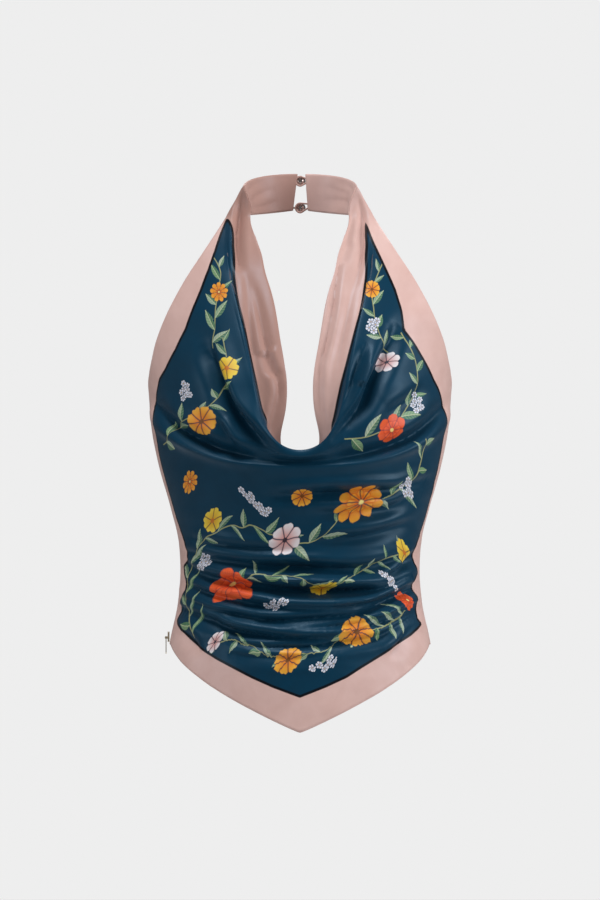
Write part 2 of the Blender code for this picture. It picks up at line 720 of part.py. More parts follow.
def plain_material(name, colour, roughness, metallic):
    material = bpy.data.materials.new(name)
    material.use_nodes = True
    shader = material.node_tree.nodes["Principled BSDF"]
    shader.inputs["Base Color"].default_value = (*colour, 1.0)
    shader.inputs["Roughness"].default_value = roughness
    shader.inputs["Metallic"].default_value = metallic
    return material


def main():
    clear_scene()
    teal = plain_material("teal_satin", (0.012, 0.042, 0.078), 0.38, 0.0)
    pink = plain_material("pink_satin", (0.58, 0.37, 0.33), 0.38, 0.0)
    loop_pink = plain_material("pink_rouleau", (0.50, 0.30, 0.27), 0.45, 0.0)
    ball_metal = plain_material("rose_metal", (0.60, 0.48, 0.45), 0.18, 1.0)
    coil_plastic = plain_material("zip_coil_nylon", (0.45, 0.30, 0.27), 0.5, 0.0)
    pull_metal = plain_material("pale_gold_metal", (0.72, 0.58, 0.45), 0.28, 1.0)
    front = front_grid()
    front_inner = cloth_wall(front, WALL)
    for strap in (slice(0, STRAP_COLUMNS), slice(-STRAP_COLUMNS, None)):
        front_inner[-1, strap] += MITRE * unit(front[-2, strap] - front[-1, strap])
    cloth_panel("front_panel", front, front_inner, teal)
    back = back_grid()
    cloth_panel("back_panel", back, cloth_wall(back, WALL), pink)
    neckband("neckband_left", -1, BAND_END_LEFT, front, pink)
    neckband("neckband_right", 1, BAND_END_RIGHT, front, pink)
    for label, height, end_height in BUTTON_HEIGHTS:
        button("button_" + label, height, ball_metal)
        button_loop("loop_" + label, height, end_height, loop_pink)
    zip_coil("zip_coil", coil_plastic)
    zip_slider("zip_slider", pull_metal)
    zip_pull("zip_pull", pull_metal)


main()
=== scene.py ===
import math
import bmesh
import bpy
import numpy as np
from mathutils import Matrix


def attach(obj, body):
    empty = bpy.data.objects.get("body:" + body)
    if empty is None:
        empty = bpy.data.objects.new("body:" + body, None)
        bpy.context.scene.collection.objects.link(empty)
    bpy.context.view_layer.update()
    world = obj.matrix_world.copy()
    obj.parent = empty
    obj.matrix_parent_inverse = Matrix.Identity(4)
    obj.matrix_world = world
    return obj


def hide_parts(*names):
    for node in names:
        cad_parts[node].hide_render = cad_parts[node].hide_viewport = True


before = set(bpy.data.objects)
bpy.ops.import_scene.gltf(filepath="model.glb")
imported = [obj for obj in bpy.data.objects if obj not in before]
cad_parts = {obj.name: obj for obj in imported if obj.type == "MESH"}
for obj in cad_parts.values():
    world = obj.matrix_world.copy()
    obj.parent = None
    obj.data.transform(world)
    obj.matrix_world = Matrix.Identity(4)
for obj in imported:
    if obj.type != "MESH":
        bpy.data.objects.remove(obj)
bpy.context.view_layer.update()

mm = 0.001  # one millimetre in metres
print("frame loaded")

# Halter top in printed satin, filled out as worn. Lengths are in mm, turns in degrees from the
# middle of the front, heights are from the mount's, and -Y is the front.

# The worn form: height, half width, front, widest and back depth of each level cut.
figureCuts = np.array([
    (-530, 142, -183, -84, 22), (-440, 128.3, -174, -84, 12),
    (-399, 120, -169, -86, 2), (-370, 117.8, -168, -87, -2),
    (-345, 119, -171, -87, 0), (-308, 127.4, -179, -85, 8),
    (-266, 139.2, -190, -80, 20), (-228, 146.4, -197, -75, 28),
    (-188, 149.8, -192, -68, 32), (-160, 153, -182, -62, 33),
    (-121, 155, -163, -52, 30), (-86, 148, -140, -45, 24),
    (-54, 125, -116, -42, 14), (-20, 80, -86, -46, 4),
    (12, 62, -70, -50, 0)])

frontPanel = {
    "wall": 1.1,
    "mitre": 1.2,  # how far the inner face stops short at the straps' seams
    "strapColumns": 22,  # how many of the neck edge's columns end in each strap's seam
    "halfColumns": 104,  # from the middle to one side edge
    "seamGap": 0.15,
    "crowding": 0.18,  # columns draw together towards the panel's edges
    # each swag: steps from the one before, turn and height of its edge, the same of the point that
    # pulls it, turn of its reach, height at the middle, and how proud it is at the edge and there
    "swags": np.array([
        (0, 90, -442, 86, -424, 3, -528, 0, 0),
        (4, 90, -414, 46, -434, 7.5, -493, 0, 0),
        (8, 90, -388, 50, -404, 14, -452, 0, 0),
        (16, 90, -345, 50, -358, 25, -365, 0, 0),
        (12, 90, -264, 55, -285, 30, -291, 0, -1),
        (5, 90, -207, 55, -224, 58, -268, 0, 2),
        (2, 90, -193, 55, -212, 56, -262, 0, -3.5),
        (4, 54.7, -103, 31, -124, 30, -257, 0, 4),
        (3, 49.2, -54.1, 9.5, -68, 28.5, -250.8, 0, -1),
        (3, 61.1, -21.6, 3, -22.6, 29, -264, 0, -11),
        (5, 62.7, 8.9, -22.4, -39.7, 14, -284, 0, -26)]),
    "armholeRow": 6,  # swag from which the armhole's curve sets the edge
    "mapRow": 7,  # swag under which the cloth's map is measured along the cloth
    # rows of the grid from each swag to the next
    "rowsBetween": (13, 24, 48, 38, 16, 8, 28, 18, 15, 18),
    "armhole": np.array([  # height and how far out the free edge is
        (-230, 146), (-193, 149.7), (-177, 148.8), (-160, 145.7), (-145.6, 142.3),
        (-121, 133), (-85.6, 114.6), (-54.1, 94.2), (-21.6, 73.4), (-9.8, 66.8), (8.9, 56.6)]),
    "strapSeam": np.array([(48.6, -18.7), (56.6, 8.9)]),
    "strapSetback": (23, 11, 30),  # at the seam's low end, at its top, and its reach
    "apart": (  # how far the neck edge is drawn apart or in, round which height, over what reach
        (11.6, -240, 28), (3, -200, 24), (5.6, -145, 42), (-3, -55, 16), (4, -25, 12)),
    "apartTurn": 4,  # turn from the middle over which that sets in
    "edgeFades": (0.06, 0.012),  # share of the half width in which creases and strap pleats set in
    "ruching": (-398, 62, 0.55),  # height, reach and depth of the fine ruching
    "unevenness": 0.7,
    "creasing": 1.35}  # how deep the bodice's creases are beside their table

# Creases: width, depth, and the path each follows as seen from the front.
# A width below nought turns the crease over, so that its steep side is the lower one.
bodiceCreases = (
    (9, 6, ((-92, -140), (-69, -205), (-22, -255))),
    (9, 6, ((96, -125), (72, -184), (30, -245))),
    (6, 4.6, ((-93, -153), (-86, -164), (-78, -185), (-69, -205), (-52, -226), (-32, -249))),
    (5, 3.4, ((-80, -221), (-71, -238), (-59, -252))),
    (6, 4.4, ((94, -138), (90, -146), (77, -171), (69, -186), (60, -208), (44, -229))),
    (6, 5, ((60, -149), (51, -186), (35, -221))),
    (3.5, 2.2, ((65, -146), (52, -188))),
    (-6, 7, ((-142, -204), (-133, -220), (-118, -233), (-92, -246), (-66, -254), (-40, -258))),
    (-6, 6, ((142, -206), (130, -224), (112, -238), (88, -248), (60, -255), (36, -258))),
    (8, 3, ((122, -186), (104, -204), (84, -214))),
    (6, 6, ((-30, -296), (56, -291), (90, -290), (126, -279))),
    (6, 4.4, ((16, -314), (80, -309), (118, -293))),
    (6, 4, ((10, -341), (64, -335), (108, -322))),
    (5, 2.6, ((-108, -338), (-60, -346), (-10, -349))),
    (6, 3.8, ((-116, -350), (-88, -357), (-32, -364), (20, -366))),
    (6, 5, ((-40, -363), (50, -367), (108, -356))),
    (6, 6.4, ((-116, -358), (-103, -370), (-77, -378), (-47, -383), (4, -387), (40, -388), (70, -386))),
    (6, 5.4, ((-30, -388), (75, -389), (110, -374))),
    (4.5, 4.4, ((84, -376), (100, -367), (114, -350))),
    (5, 4.2, ((-113, -381), (-93, -391), (-67, -397), (-20, -404))),
    (5, 3.6, ((-60, -402), (0, -407), (56, -404), (96, -390))),
    (5, 4.6, ((30, -408), (80, -399), (116, -381))),
    (6, 6.2, ((-46, -420), (50, -414), (80, -404), (117, -386))),
    (6, 6.2, ((-121, -405), (-88, -418), (-62, -429), (-38, -433), (14, -437), (40, -437))),
    (4.5, 4.2, ((-12, -428), (40, -424), (80, -416), (119, -400))),
    (4.5, 3, ((-116, -396), (-84, -408), (-50, -415), (-14, -419))),
    (4.5, 4.2, ((-6, -436), (40, -433), (70, -425), (118, -406))),
    (5, 5.2, ((-80, -438), (-30, -445), (6, -445), (40, -441), (70, -436), (114, -414))),
    (5, 2.6, ((-72, -451), (-46, -454), (0, -455), (40, -450))),
    (6, 2, ((-116, -428), (-104, -440), (-98, -452))),
    (6, 1.8, ((112, -424), (98, -440), (88, -456))))
stripCreases = (
    (5, 6, ((-45, -90), (-38, -125), (-32, -153), (-23, -178), (-20, -193), (-24, -214), (-30, -237))),
    (4.5, 6.4, ((54, -6), (47, -42), (37, -73), (32, -115), (26, -144), (20, -169), (19, -193), (24, -233))),
    (4.5, 6, ((-56, 6), (-59, -10), (-62, -44), (-60, -76))),
    (4, 4.4, ((57, 2), (62, -26), (62, -48), (55, -90))),
    (6, 3.2, ((-54, -70), (-50, -110), (-46, -146), (-40, -180))),
    (6, 2.8, ((54, -80), (46, -120), (38, -160), (33, -190))))

# The printed field's edge on each side, as seen from the front, from the hem's point upwards.
fieldEdge = {
    "line": 1.3,  # half the black line's width
    # how much nearer the neck its inner line lies on the side given (0 is both), round which
    # height, over what reach
    "shifts": ((0, 6.5, -56, 34), (1, 2.5, -205, 35), (-1, -5.5, -25, 11)),
    "corner": 1.2,  # how far its corners are blunted
    "left": ((-0.2, -493), (-26.8, -483.1), (-47.4, -473.8), (-67.1, -463.5), (-82.4, -455.6),
             (-97.6, -445.8), (-109.4, -435.9), (-117.3, -426.7), (-121, -417.7), (-118.3, -410.3),
             (-118, -399.5), (-113, -389.7), (-112, -380.8), (-113.4, -373.9), (-115.6, -366),
             (-111.4, -359.2), (-112.4, -344.4), (-120.6, -319.8), (-130, -290), (-138, -256),
             (-142, -226), (-143.6, -208), (-140.9, -191.9), (-138.9, -182), (-133, -172.2),
             (-122.2, -152.5), (-112.4, -132.8), (-105.5, -113.2), (-97.6, -93.5), (-89.7, -73.8),
             (-82.9, -54.1), (-76.6, -34.4), (-71.6, -22), (-66, -10)),
    "right": ((24.9, -483.1), (45.1, -473.8), (59.8, -464.4), (80.5, -451.7), (95.3, -441.8),
              (110, -432), (118.3, -422.1), (114.9, -417.2), (114.9, -395.6), (111, -382.8),
              (115.4, -372), (113, -364.1), (113, -348.3), (117, -338.5), (122.3, -320.8),
              (130, -290), (138, -256), (142.5, -229.3), (142, -211.6), (139.5, -201.7),
              (136.6, -191.9), (131.7, -182), (121.8, -162.4), (109, -142.7), (102.1, -132.8),
              (99.2, -113.2), (93.3, -93.5), (84.4, -73.8), (75.6, -54.1),
              (70.7, -43.6), (64.4, -29.4), (58, -16))}


def levelSlopes(knots, values):
    # harmonic mean of the rises on both sides, and level where they disagree
    rise = np.diff(values, axis=0) / np.diff(knots).reshape((-1,) + (1,) * (values.ndim - 1))
    product = rise[:-1] * rise[1:]
    total = np.where(product > 0.0, rise[:-1] + rise[1:], 1.0)
    return np.concatenate([rise[:1], np.where(product > 0.0, 2.0 * product / total, 0.0), rise[-1:]])


def smoothRead(place, knots, values):
    # cubic Hermite curve through values at rising knots
    slopes = levelSlopes(knots, values)
    span = np.clip(np.searchsorted(knots, place) - 1, 0, len(knots) - 2)
    width = knots[span + 1] - knots[span]
    part = (place - knots[span]) / width
    if values.ndim > 1:
        part, width = part[:, None], width[:, None]
    rise = part * part * (3.0 - 2.0 * part)
    return (values[span] * (1.0 - rise) + values[span + 1] * rise
            + slopes[span] * part * (1.0 - part) ** 2 * width
            - slopes[span + 1] * part * part * (1.0 - part) * width)


def figureAt(height):
    # half width, front, widest and back depth of the worn form at each height
    flat = np.clip(np.ravel(height), figureCuts[0, 0], figureCuts[-1, 0])
    read = smoothRead(flat, figureCuts[:, 0], figureCuts[:, 1:])
    return [read[:, part].reshape(np.shape(height)) for part in range(4)]


def onFigure(turn, height, proud):
    # x = a sin t, y = s - d cos t on the level cut, moved out along its normal by proud
    halfWidth, front, side, back = figureAt(height)
    angle = np.radians(turn)
    depth = np.where(np.cos(angle) >= 0.0, side - front, back - side)
    across, along = np.sin(angle) / halfWidth, -np.cos(angle) / depth
    size = np.hypot(across, along)
    x = halfWidth * np.sin(angle) + proud * across / size
    y = side - depth * np.cos(angle) + proud * along / size
    return asPoints(x, y, height + 0.0 * x)


def asPoints(*parts):
    # one array whose last axis holds the parts
    return np.stack(parts, axis=-1)


def between(low, top, share):
    return low + (top - low) * share


def readAlong(places, knots, line):
    # the line's points at those lengths, straight between its own
    return asPoints(*[np.interp(places, knots, line[:, axis]) for axis in range(3)])


def unit(vectors):
    return vectors / np.maximum(np.linalg.norm(vectors, axis=-1, keepdims=True), 1e-9)


def lengthAlong(points):
    # summed length of the line, or of each column, from its first point
    steps = np.linalg.norm(np.diff(points, axis=0), axis=-1)
    return np.concatenate([np.zeros_like(steps[:1]), np.cumsum(steps, axis=0)])


def stepGap(points, start, end):
    # distance to a straight step, and how far along it the nearest place lies, from 0 to 1
    run = end - start
    part = np.clip(((points - start) @ run) / (run @ run), 0.0, 1.0)
    return np.linalg.norm(points - start - part[..., None] * run, axis=-1), part


def gridNormals(grid):
    # cross product of the steps across and along the grid
    return unit(np.cross(np.gradient(grid, axis=1), np.gradient(grid, axis=0)))


def softNoise(a, b, seed):
    # value noise: random numbers on a 64 by 64 lattice, blended by smoothstep
    table = np.random.default_rng(seed).random((64, 64)) * 2.0 - 1.0
    low, up = np.floor(a).astype(int), np.floor(b).astype(int)
    p, q = a - low, b - up
    p, q = p * p * (3.0 - 2.0 * p), q * q * (3.0 - 2.0 * q)
    low, up, lowNext, upNext = low % 64, up % 64, (low + 1) % 64, (up + 1) % 64
    return ((table[low, up] * (1 - p) + table[lowNext, up] * p) * (1 - q)
            + (table[low, upNext] * (1 - p) + table[lowNext, upNext] * p) * q)


def evenLine(points, count):
    # a smooth curve through the points, read at even lengths
    knots = lengthAlong(points)
    return smoothRead(np.linspace(0.0, knots[-1], count), knots, points)


def creaseDepth(seen, creases):
    # r = distance above the path / width; trough exp(-(r/0.5)^2) above, exp(-(r/1.1)^2) below,
    # with a full ridge over it and a faint one under it
    total = np.zeros(seen.shape[:-1])
    count = 60
    for width, depth, path in creases:
        line = evenLine(np.array(path, float), count)
        along = unit(np.gradient(line, axis=0))
        above = asPoints(-along[:, 1], along[:, 0])
        above *= np.where(above[:, 1:] + 0.3 * np.sign(line[:, :1]) * above[:, :1] >= 0.0, 1.0, -1.0)
        reach = 4.0 * abs(width)
        near = np.all((seen > line.min(axis=0) - reach) & (seen < line.max(axis=0) + reach), axis=-1)
        points = seen[near]
        nearest = ((points[:, None] - line[None]) ** 2).sum(axis=2).argmin(axis=1)
        offset = points - line[nearest]
        r = (offset * above[nearest]).sum(axis=1) / width
        past = np.abs((offset * along[nearest]).sum(axis=1)) / abs(width)
        fade = np.sin(math.pi * (nearest + 0.5) / count) ** 0.6 * np.exp(-past ** 2)
        trough = np.exp(-(r / np.where(r > 0.0, 0.5, 1.1)) ** 2)
        ridges = 0.5 * np.exp(-((r - 1.5) / 0.8) ** 2) + 0.2 * np.exp(-((r + 2.3) / 0.9) ** 2)
        total[near] += depth * fade * (trough - ridges)
    return total


def crowdedShares(count):
    # even shares e turned to e(1 + c) - c e^2
    even = np.linspace(0.0, 1.0, count)
    return even * (1.0 + frontPanel["crowding"]) - frontPanel["crowding"] * even ** 2


def halfSwag(swag):
    # cubic Bezier from the middle of the front to the edge, read at shares of its length
    _, edgeTurn, edgeUp, pullTurn, pullUp, reachTurn, middleUp, edgeProud, middleProud = swag

    def curve(t):
        near = 1.0 - t
        turn = t ** 3 * edgeTurn + 3 * near * t ** 2 * pullTurn + 3 * near ** 2 * t * reachTurn
        up = t ** 3 * edgeUp + 3 * near * t ** 2 * pullUp + (3 * near ** 2 * t + near ** 3) * middleUp
        return turn, up

    fine = np.linspace(0.0, 1.0, 200)
    length = lengthAlong(onFigure(*curve(fine), 0.0))
    share = crowdedShares(frontPanel["halfColumns"] + 1)
    turn, up = curve(np.interp(share * (length[-1] - frontPanel["seamGap"]), length, fine))
    proud = between(edgeProud, middleProud, (1.0 - share) ** 1.6)
    return asPoints(turn, up, proud)


def strapSetback(points):
    # points near the strap's seam lie back by an amount that fades as exp(-(gap/reach)^2)
    seen = asPoints(np.abs(points[..., 0]), points[..., 2])
    gap, along = stepGap(seen, *frontPanel["strapSeam"])
    atLow, atTop, reach = frontPanel["strapSetback"]
    return between(atLow, atTop, along) * np.exp(-(gap / reach) ** 2)


def frontCloth():
    # rows run from the hem to the neck edge, columns from -X to +X; every row is a swag
    swags = frontPanel["swags"]
    places = np.cumsum(swags[:, 0])
    halves = np.array([halfSwag(swag) for swag in swags])
    pieces = [np.linspace(places[k], places[k + 1], count, endpoint=False)
              for k, count in enumerate(frontPanel["rowsBetween"])]
    row = np.concatenate(pieces + [places[-1:]])
    half = smoothRead(row, places, halves.reshape(len(swags), -1)).reshape(len(row), -1, 3)
    share = crowdedShares(half.shape[1])[None, :]
    armhole = frontPanel["armhole"]
    out = smoothRead(half[:, -1, 1], armhole[:, 0], armhole[:, 1])
    edgeTurn = np.degrees(np.arcsin(np.minimum(out / figureAt(half[:, -1, 1])[0], 1.0)))
    cut = np.clip(row - places[frontPanel["armholeRow"]], 0.0, 1.0)
    half[:, :, 0] += (cut * (edgeTurn - half[:, -1, 0]))[:, None] * share ** 2
    whole = np.concatenate([half[:, ::-1] * np.array([-1.0, 1.0, 1.0]), half[:, 1:]], axis=1)
    turn, height, proud = whole[..., 0], whole[..., 1], whole[..., 2]
    rim, innerLine, neckEdge = places[-3:]
    place = np.broadcast_to(row[:, None], turn.shape)
    inside = np.clip((place - innerLine) / (neckEdge - innerLine), 0.0, 1.0)
    seen = onFigure(turn, height, 0.0)[..., [0, 2]]
    onBodice = np.clip((rim - place) / 1.2, 0.0, 1.0)
    onStrip = np.sin(math.pi * np.clip((place - rim) / (neckEdge - rim), 0.0, 1.0)) ** 0.6
    fromEdge = 1.0 - np.abs(np.concatenate([-share[0, ::-1], share[0, 1:]]))[None, :]
    free, strapFree = [np.clip(fromEdge / fade, 0.0, 1.0) for fade in frontPanel["edgeFades"]]
    arc = arcAcross(turn, height)
    middle, reach, deep = frontPanel["ruching"]
    ruched = np.exp(-((height - middle) / reach) ** 2) * onBodice
    small = softNoise(arc / 46.0, height / 5.5 + 0.02 * np.abs(arc), 11) * deep * ruched
    small += softNoise(arc / 30.0, height / 24.0, 5) * frontPanel["unevenness"]
    pressed = frontPanel["creasing"] * creaseDepth(seen, bodiceCreases) * onBodice + small
    proud = proud - pressed * free
    apart = inside * sum(far * np.exp(-((height - up) / reach) ** 2)
                         for far, up, reach in frontPanel["apart"])
    points = onFigure(turn, height, proud)
    points[..., 0] += np.sign(turn) * apart * np.clip(np.abs(turn) / frontPanel["apartTurn"], 0.0, 1.0)
    points[..., 1] += strapSetback(points)
    pleats = creaseDepth(points[..., [0, 2]], stripCreases) * onStrip * strapFree
    points -= pleats[..., None] * gridNormals(points)
    return points, place, arc, height, places


def arcAcross(turn, height):
    # length round the level cut from the middle of the front: sum of sqrt((a cos)^2 + (d sin)^2)
    halfWidth, front, side, _ = figureAt(height)
    steps = (np.arange(24) + 0.5) / 24.0
    angle = np.radians(np.abs(turn))[..., None] * steps
    speed = np.hypot(halfWidth[..., None] * np.cos(angle), (side - front)[..., None] * np.sin(angle))
    return np.sign(turn) * speed.mean(axis=-1) * np.radians(np.abs(turn))


def edgeDistance(points, polygon):
    # distance to a closed line, positive inside it (odd number of crossings)
    best = np.full(points.shape[:-1], 1e9)
    inside = np.zeros(points.shape[:-1], bool)
    for start, end in zip(polygon, np.roll(polygon, -1, axis=0)):
        run = end - start
        best = np.minimum(best, stepGap(points, start, end)[0])
        crosses = (start[1] > points[..., 1]) != (end[1] > points[..., 1])
        rise = run[1] if abs(run[1]) > 1e-9 else 1e-9
        inside ^= crosses & (points[..., 0] < start[0] + run[0] * (points[..., 1] - start[1]) / rise)
    return np.where(inside, best, -best)


def fieldDistance(points, place, arc, height, places):
    # least of the distance to the outer edge on the unrolled form and to the neck border's line,
    # each above nought on the field's side; where they meet, less (b - gap)^2 / 4b
    def unrolled(path):
        line = np.array(path)
        turn = np.degrees(np.arcsin(np.clip(line[:, 0] / figureAt(line[:, 1])[0], -1.0, 1.0)))
        return asPoints(arcAcross(turn, line[:, 1]), line[:, 1])

    polygon = np.concatenate([unrolled(fieldEdge["left"]), unrolled(fieldEdge["right"])[::-1]])
    outer = edgeDistance(asPoints(arc, height), polygon)
    row = int(np.argmin(np.abs(place[:, 0] - places[-2])))
    toLine = np.full(place.shape, 1e9)
    for start, end in zip(points[row, :-1], points[row, 1:]):
        toLine = np.minimum(toLine, stepGap(points, start, end)[0])
    inner = np.where(place < places[-2], toLine, -toLine)
    for side, far, up, reach in fieldEdge["shifts"]:
        inner += np.where(side * arc >= 0.0, far * np.exp(-((height - up) / reach) ** 2), 0.0)
    blunt = fieldEdge["corner"]
    overlap = np.maximum(blunt - np.abs(outer - inner), 0.0)
    return np.minimum(outer, inner) - overlap ** 2 / (4.0 * blunt)


def closeWall(outer, inner, roll=0.45):
    # both faces of a wall of cloth and a rolled edge between them, roll times the wall proud;
    # returns points, quads and the outer face's edge
    rows, columns = outer.shape[:2]
    index = np.arange(rows * columns).reshape(rows, columns)
    quads = asPoints(index[:-1, :-1], index[:-1, 1:], index[1:, 1:], index[1:, :-1])
    quads = quads.reshape(-1, 4)
    loop = np.concatenate([index[0, :-1], index[:-1, -1], index[-1, :0:-1], index[:0:-1, 0]])
    count = rows * columns
    flatOuter, flatInner = outer.reshape(-1, 3), inner.reshape(-1, 3)
    middle = (flatOuter[loop] + flatInner[loop]) / 2.0
    along = unit(np.roll(middle, -1, axis=0) - np.roll(middle, 1, axis=0))
    through = flatOuter[loop] - flatInner[loop]
    middle += roll * np.cross(along, unit(through)) * np.linalg.norm(through, axis=1, keepdims=True)
    edge = 2 * count + np.arange(len(loop))
    after, edgeAfter = np.roll(loop, -1), np.roll(edge, -1)
    strips = [asPoints(loop, edge, edgeAfter, after),
              asPoints(edge, loop + count, after + count, edgeAfter)]
    faces = np.concatenate([quads, quads[:, ::-1] + count] + strips)
    return np.concatenate([flatOuter, flatInner, middle]), faces, loop


def newObject(name, mesh, material):
    mesh.materials.append(material)
    made = bpy.data.objects.new(name, mesh)
    bpy.context.collection.objects.link(made)
    return made


def onWall(values, loop):
    # one value for each point of the outer face, the inner face and the rolled edge
    flat = values.reshape((-1,) + values.shape[2:])
    return np.concatenate([flat, flat, flat[loop]])


def wallPiece(name, outer, inner, material, flat):
    # a closed wall with the cloth's own map, in mm, at every corner
    points, faces, loop = closeWall(outer, inner)
    mesh = bpy.data.meshes.new(name)
    mesh.from_pydata(points * mm, [], faces)
    mesh.shade_smooth()
    mesh.set_sharp_from_angle(angle=math.radians(50.0))
    addUv(mesh, onWall(flat, loop))
    return newObject(name, mesh, material), faces, loop


def addLayer(mesh, name, values):
    # an attribute of numbers at the points, or of vectors or colours at the faces' corners
    kind, part, domain = {
        1: ("FLOAT", "value", "POINT"), 3: ("FLOAT_VECTOR", "vector", "CORNER"),
        4: ("FLOAT_COLOR", "color", "CORNER")}[values.shape[-1] if values.ndim > 1 else 1]
    layer = mesh.attributes.new(name, kind, domain)
    layer.data.foreach_set(part, np.ascontiguousarray(values, dtype=np.float32).ravel())


def addUv(mesh, places):
    # places are the map's, one for each point
    corners = np.empty(len(mesh.loops), np.int32)
    mesh.loops.foreach_get("vertex_index", corners)
    mesh.uv_layers.new(name="cloth").data.foreach_set("uv", places[corners].astype(np.float32).ravel())


def clothArea(grid):
    # summed area of the grid's faces, in square metres
    spans = np.cross(np.diff(grid, axis=0)[:, :-1], np.diff(grid, axis=1)[:-1])
    return float(np.linalg.norm(spans, axis=-1).sum()) * 1e-6


def hexColour(text):
    # sRGB to linear: c/12.92 below 0.04045, ((c + 0.055)/1.055)^2.4 above
    parts = np.array([int(text[k:k + 2], 16) for k in (1, 3, 5)]) / 255.0
    linear = np.where(parts <= 0.04045, parts / 12.92, ((parts + 0.055) / 1.055) ** 2.4)
    return (*linear.tolist(), 1.0)


def fillInputs(node, values):
    # each input by name or number: a link from an output, a node of its own given as a tuple,
    # a number or an sRGB hex colour
    for key, value in values.items():
        if isinstance(value, tuple):
            value = addNode(node.id_data, *value)
        if isinstance(value, bpy.types.NodeSocket):
            node.id_data.links.new(value, node.inputs[key])
        else:
            node.inputs[key].default_value = hexColour(value) if isinstance(value, str) else value


def addNode(tree, kind, *values, out=0, **settings):
    # one node: kind is a Math node's operation in capitals, or a type and, after a space, what it
    # mixes or reads; values are the inputs it uses in order, or a dictionary of them; gives one
    # of the outputs it uses
    kind, _, choice = kind.partition(" ")
    node = tree.nodes.new("ShaderNode" + ("Math" if kind.isupper() else kind))
    if kind.isupper():
        node.operation = kind
    if choice:
        settings[{"Mix": "data_type", "Attribute": "attribute_name", "UVMap": "uv_map"}[kind]] = choice
    for name, value in settings.items():
        setattr(node, name, value)
    if not (values and isinstance(values[0], dict)):
        values = [dict(zip([k for k, socket in enumerate(node.inputs) if socket.enabled], values))]
    fillInputs(node, values[0])
    return [socket for socket in node.outputs if socket.enabled][out]


def newMaterial(name):
    material = bpy.data.materials.new(name)
    material.use_nodes = True
    return material, material.node_tree, material.node_tree.nodes["Principled BSDF"]


# The print is this top's own: ordinary garden flowers and leafy stems in a layout of their own.
flowerKinds = {  # petals, gap between, notch of the ends, heart's size, cleft, inner ring, then colours
    "cosmos": (8, 0.030, 0.12, 0.17, 0.06, 0.0, "#F2B241", "#DE7A22", "#7A4A1C"),
    "rose": (6, 0.012, 0.20, 0.13, 0.00, 1.0, "#EF6330", "#C93F1B", "#F3D07A"),
    "dahlia": (9, 0.022, 0.30, 0.10, 0.00, 1.0, "#F0A93B", "#DB6A22", "#F4E08A"),
    "primrose": (5, 0.030, 0.10, 0.20, 0.17, 0.0, "#EED24A", "#E0A92A", "#C7752A"),
    "anemone": (7, 0.030, 0.24, 0.15, 0.00, 0.0, "#EEE8EC", "#D99A94", "#3E3038"),
    "star": (6, 0.045, 0.34, 0.14, 0.00, 0.0, "#E9EAF3", "#B9BCD0", "#D9B05A")}
flowerPlaces = (  # kind, out, up, radius, turn
    ("dahlia", 61, -303, 26.0, 0.3), ("rose", -66, -384, 24.0, 0.2), ("cosmos", 55, -430, 18.5, 0.5),
    ("rose", 90, -231, 15.5, 0.9), ("cosmos", -97, -223, 18.0, 0.1), ("anemone", -14, -340, 16.0, 0.4),
    ("primrose", 22, -386, 13.5, 0.2), ("primrose", -86, -321, 11.5, 0.7),
    ("primrose", 103, -352, 10.5, 0.1), ("cosmos", -12, -457, 14.0, 0.8), ("anemone", 86, -166, 11.5, 0.2),
    ("primrose", -71, -170, 11.5, 0.4), ("rose", 106, -398, 10.5, 0.5), ("dahlia", -108, -282, 10.5, 0.4),
    ("cosmos", 2, -296, 11.0, 0.3), ("anemone", -84, -440, 9.5, 0.6), ("dahlia", -80, -96, 9.5, 0.2),
    ("cosmos", 69, -92, 8.5, 0.6))
starRadius = 3.6
starHeads = (  # middle, spread out and up, count, seed
    (-44, -303, 17, 6, 11, 3), (104, -286, 9, 9, 8, 8), (-24, -404, 12, 6, 7, 5), (88, -378, 10, 5, 6, 2),
    (-96, -362, 8, 8, 7, 4), (24, -464, 12, 5, 6, 9), (116, -206, 8, 11, 8, 6), (-112, -192, 9, 10, 8, 7),
    (72, -128, 5, 7, 5, 1))
stemPlaces = (  # half width, leaf length, leaf half width, steps between leaves, path from root to tip
    (0.60, 27, 4.8, 14, ((-104, -436), (-112, -398), (-104, -352), (-74, -328), (-40, -326), (-8, -344))),
    (0.60, 30, 5.4, 15,
     ((-14, -345), (16, -340), (38, -318), (62, -304), (90, -296), (118, -268), (124, -240))),
    (0.50, 22, 3.8, 11,
     ((-66, -384), (-36, -372), (-2, -376), (24, -386), (54, -374), (84, -358), (103, -352))),
    (0.50, 23, 4.2, 12,
     ((104, -408), (84, -424), (55, -432), (24, -446), (-12, -456), (-48, -444), (-84, -440))),
    (0.50, 25, 4.4, 13, ((-134, -246), (-116, -222), (-97, -214), (-78, -196), (-71, -170), (-76, -140))),
    (0.50, 24, 4.2, 12, ((-86, -150), (-84, -120), (-80, -92), (-76, -66), (-75, -44))),
    (0.50, 22, 3.8, 11, ((84, -154), (74, -124), (70, -92), (70, -66), (67, -50))),
    (0.60, 29, 5.2, 14,
     ((44, -240), (66, -238), (90, -228), (108, -206), (116, -182), (112, -158), (100, -136))))


def turned(offsets, turn):
    # along and across a motif that is turned by that angle
    c, s = math.cos(turn), math.sin(turn)
    return offsets[..., 0] * c + offsets[..., 1] * s, offsets[..., 1] * c - offsets[..., 0] * s


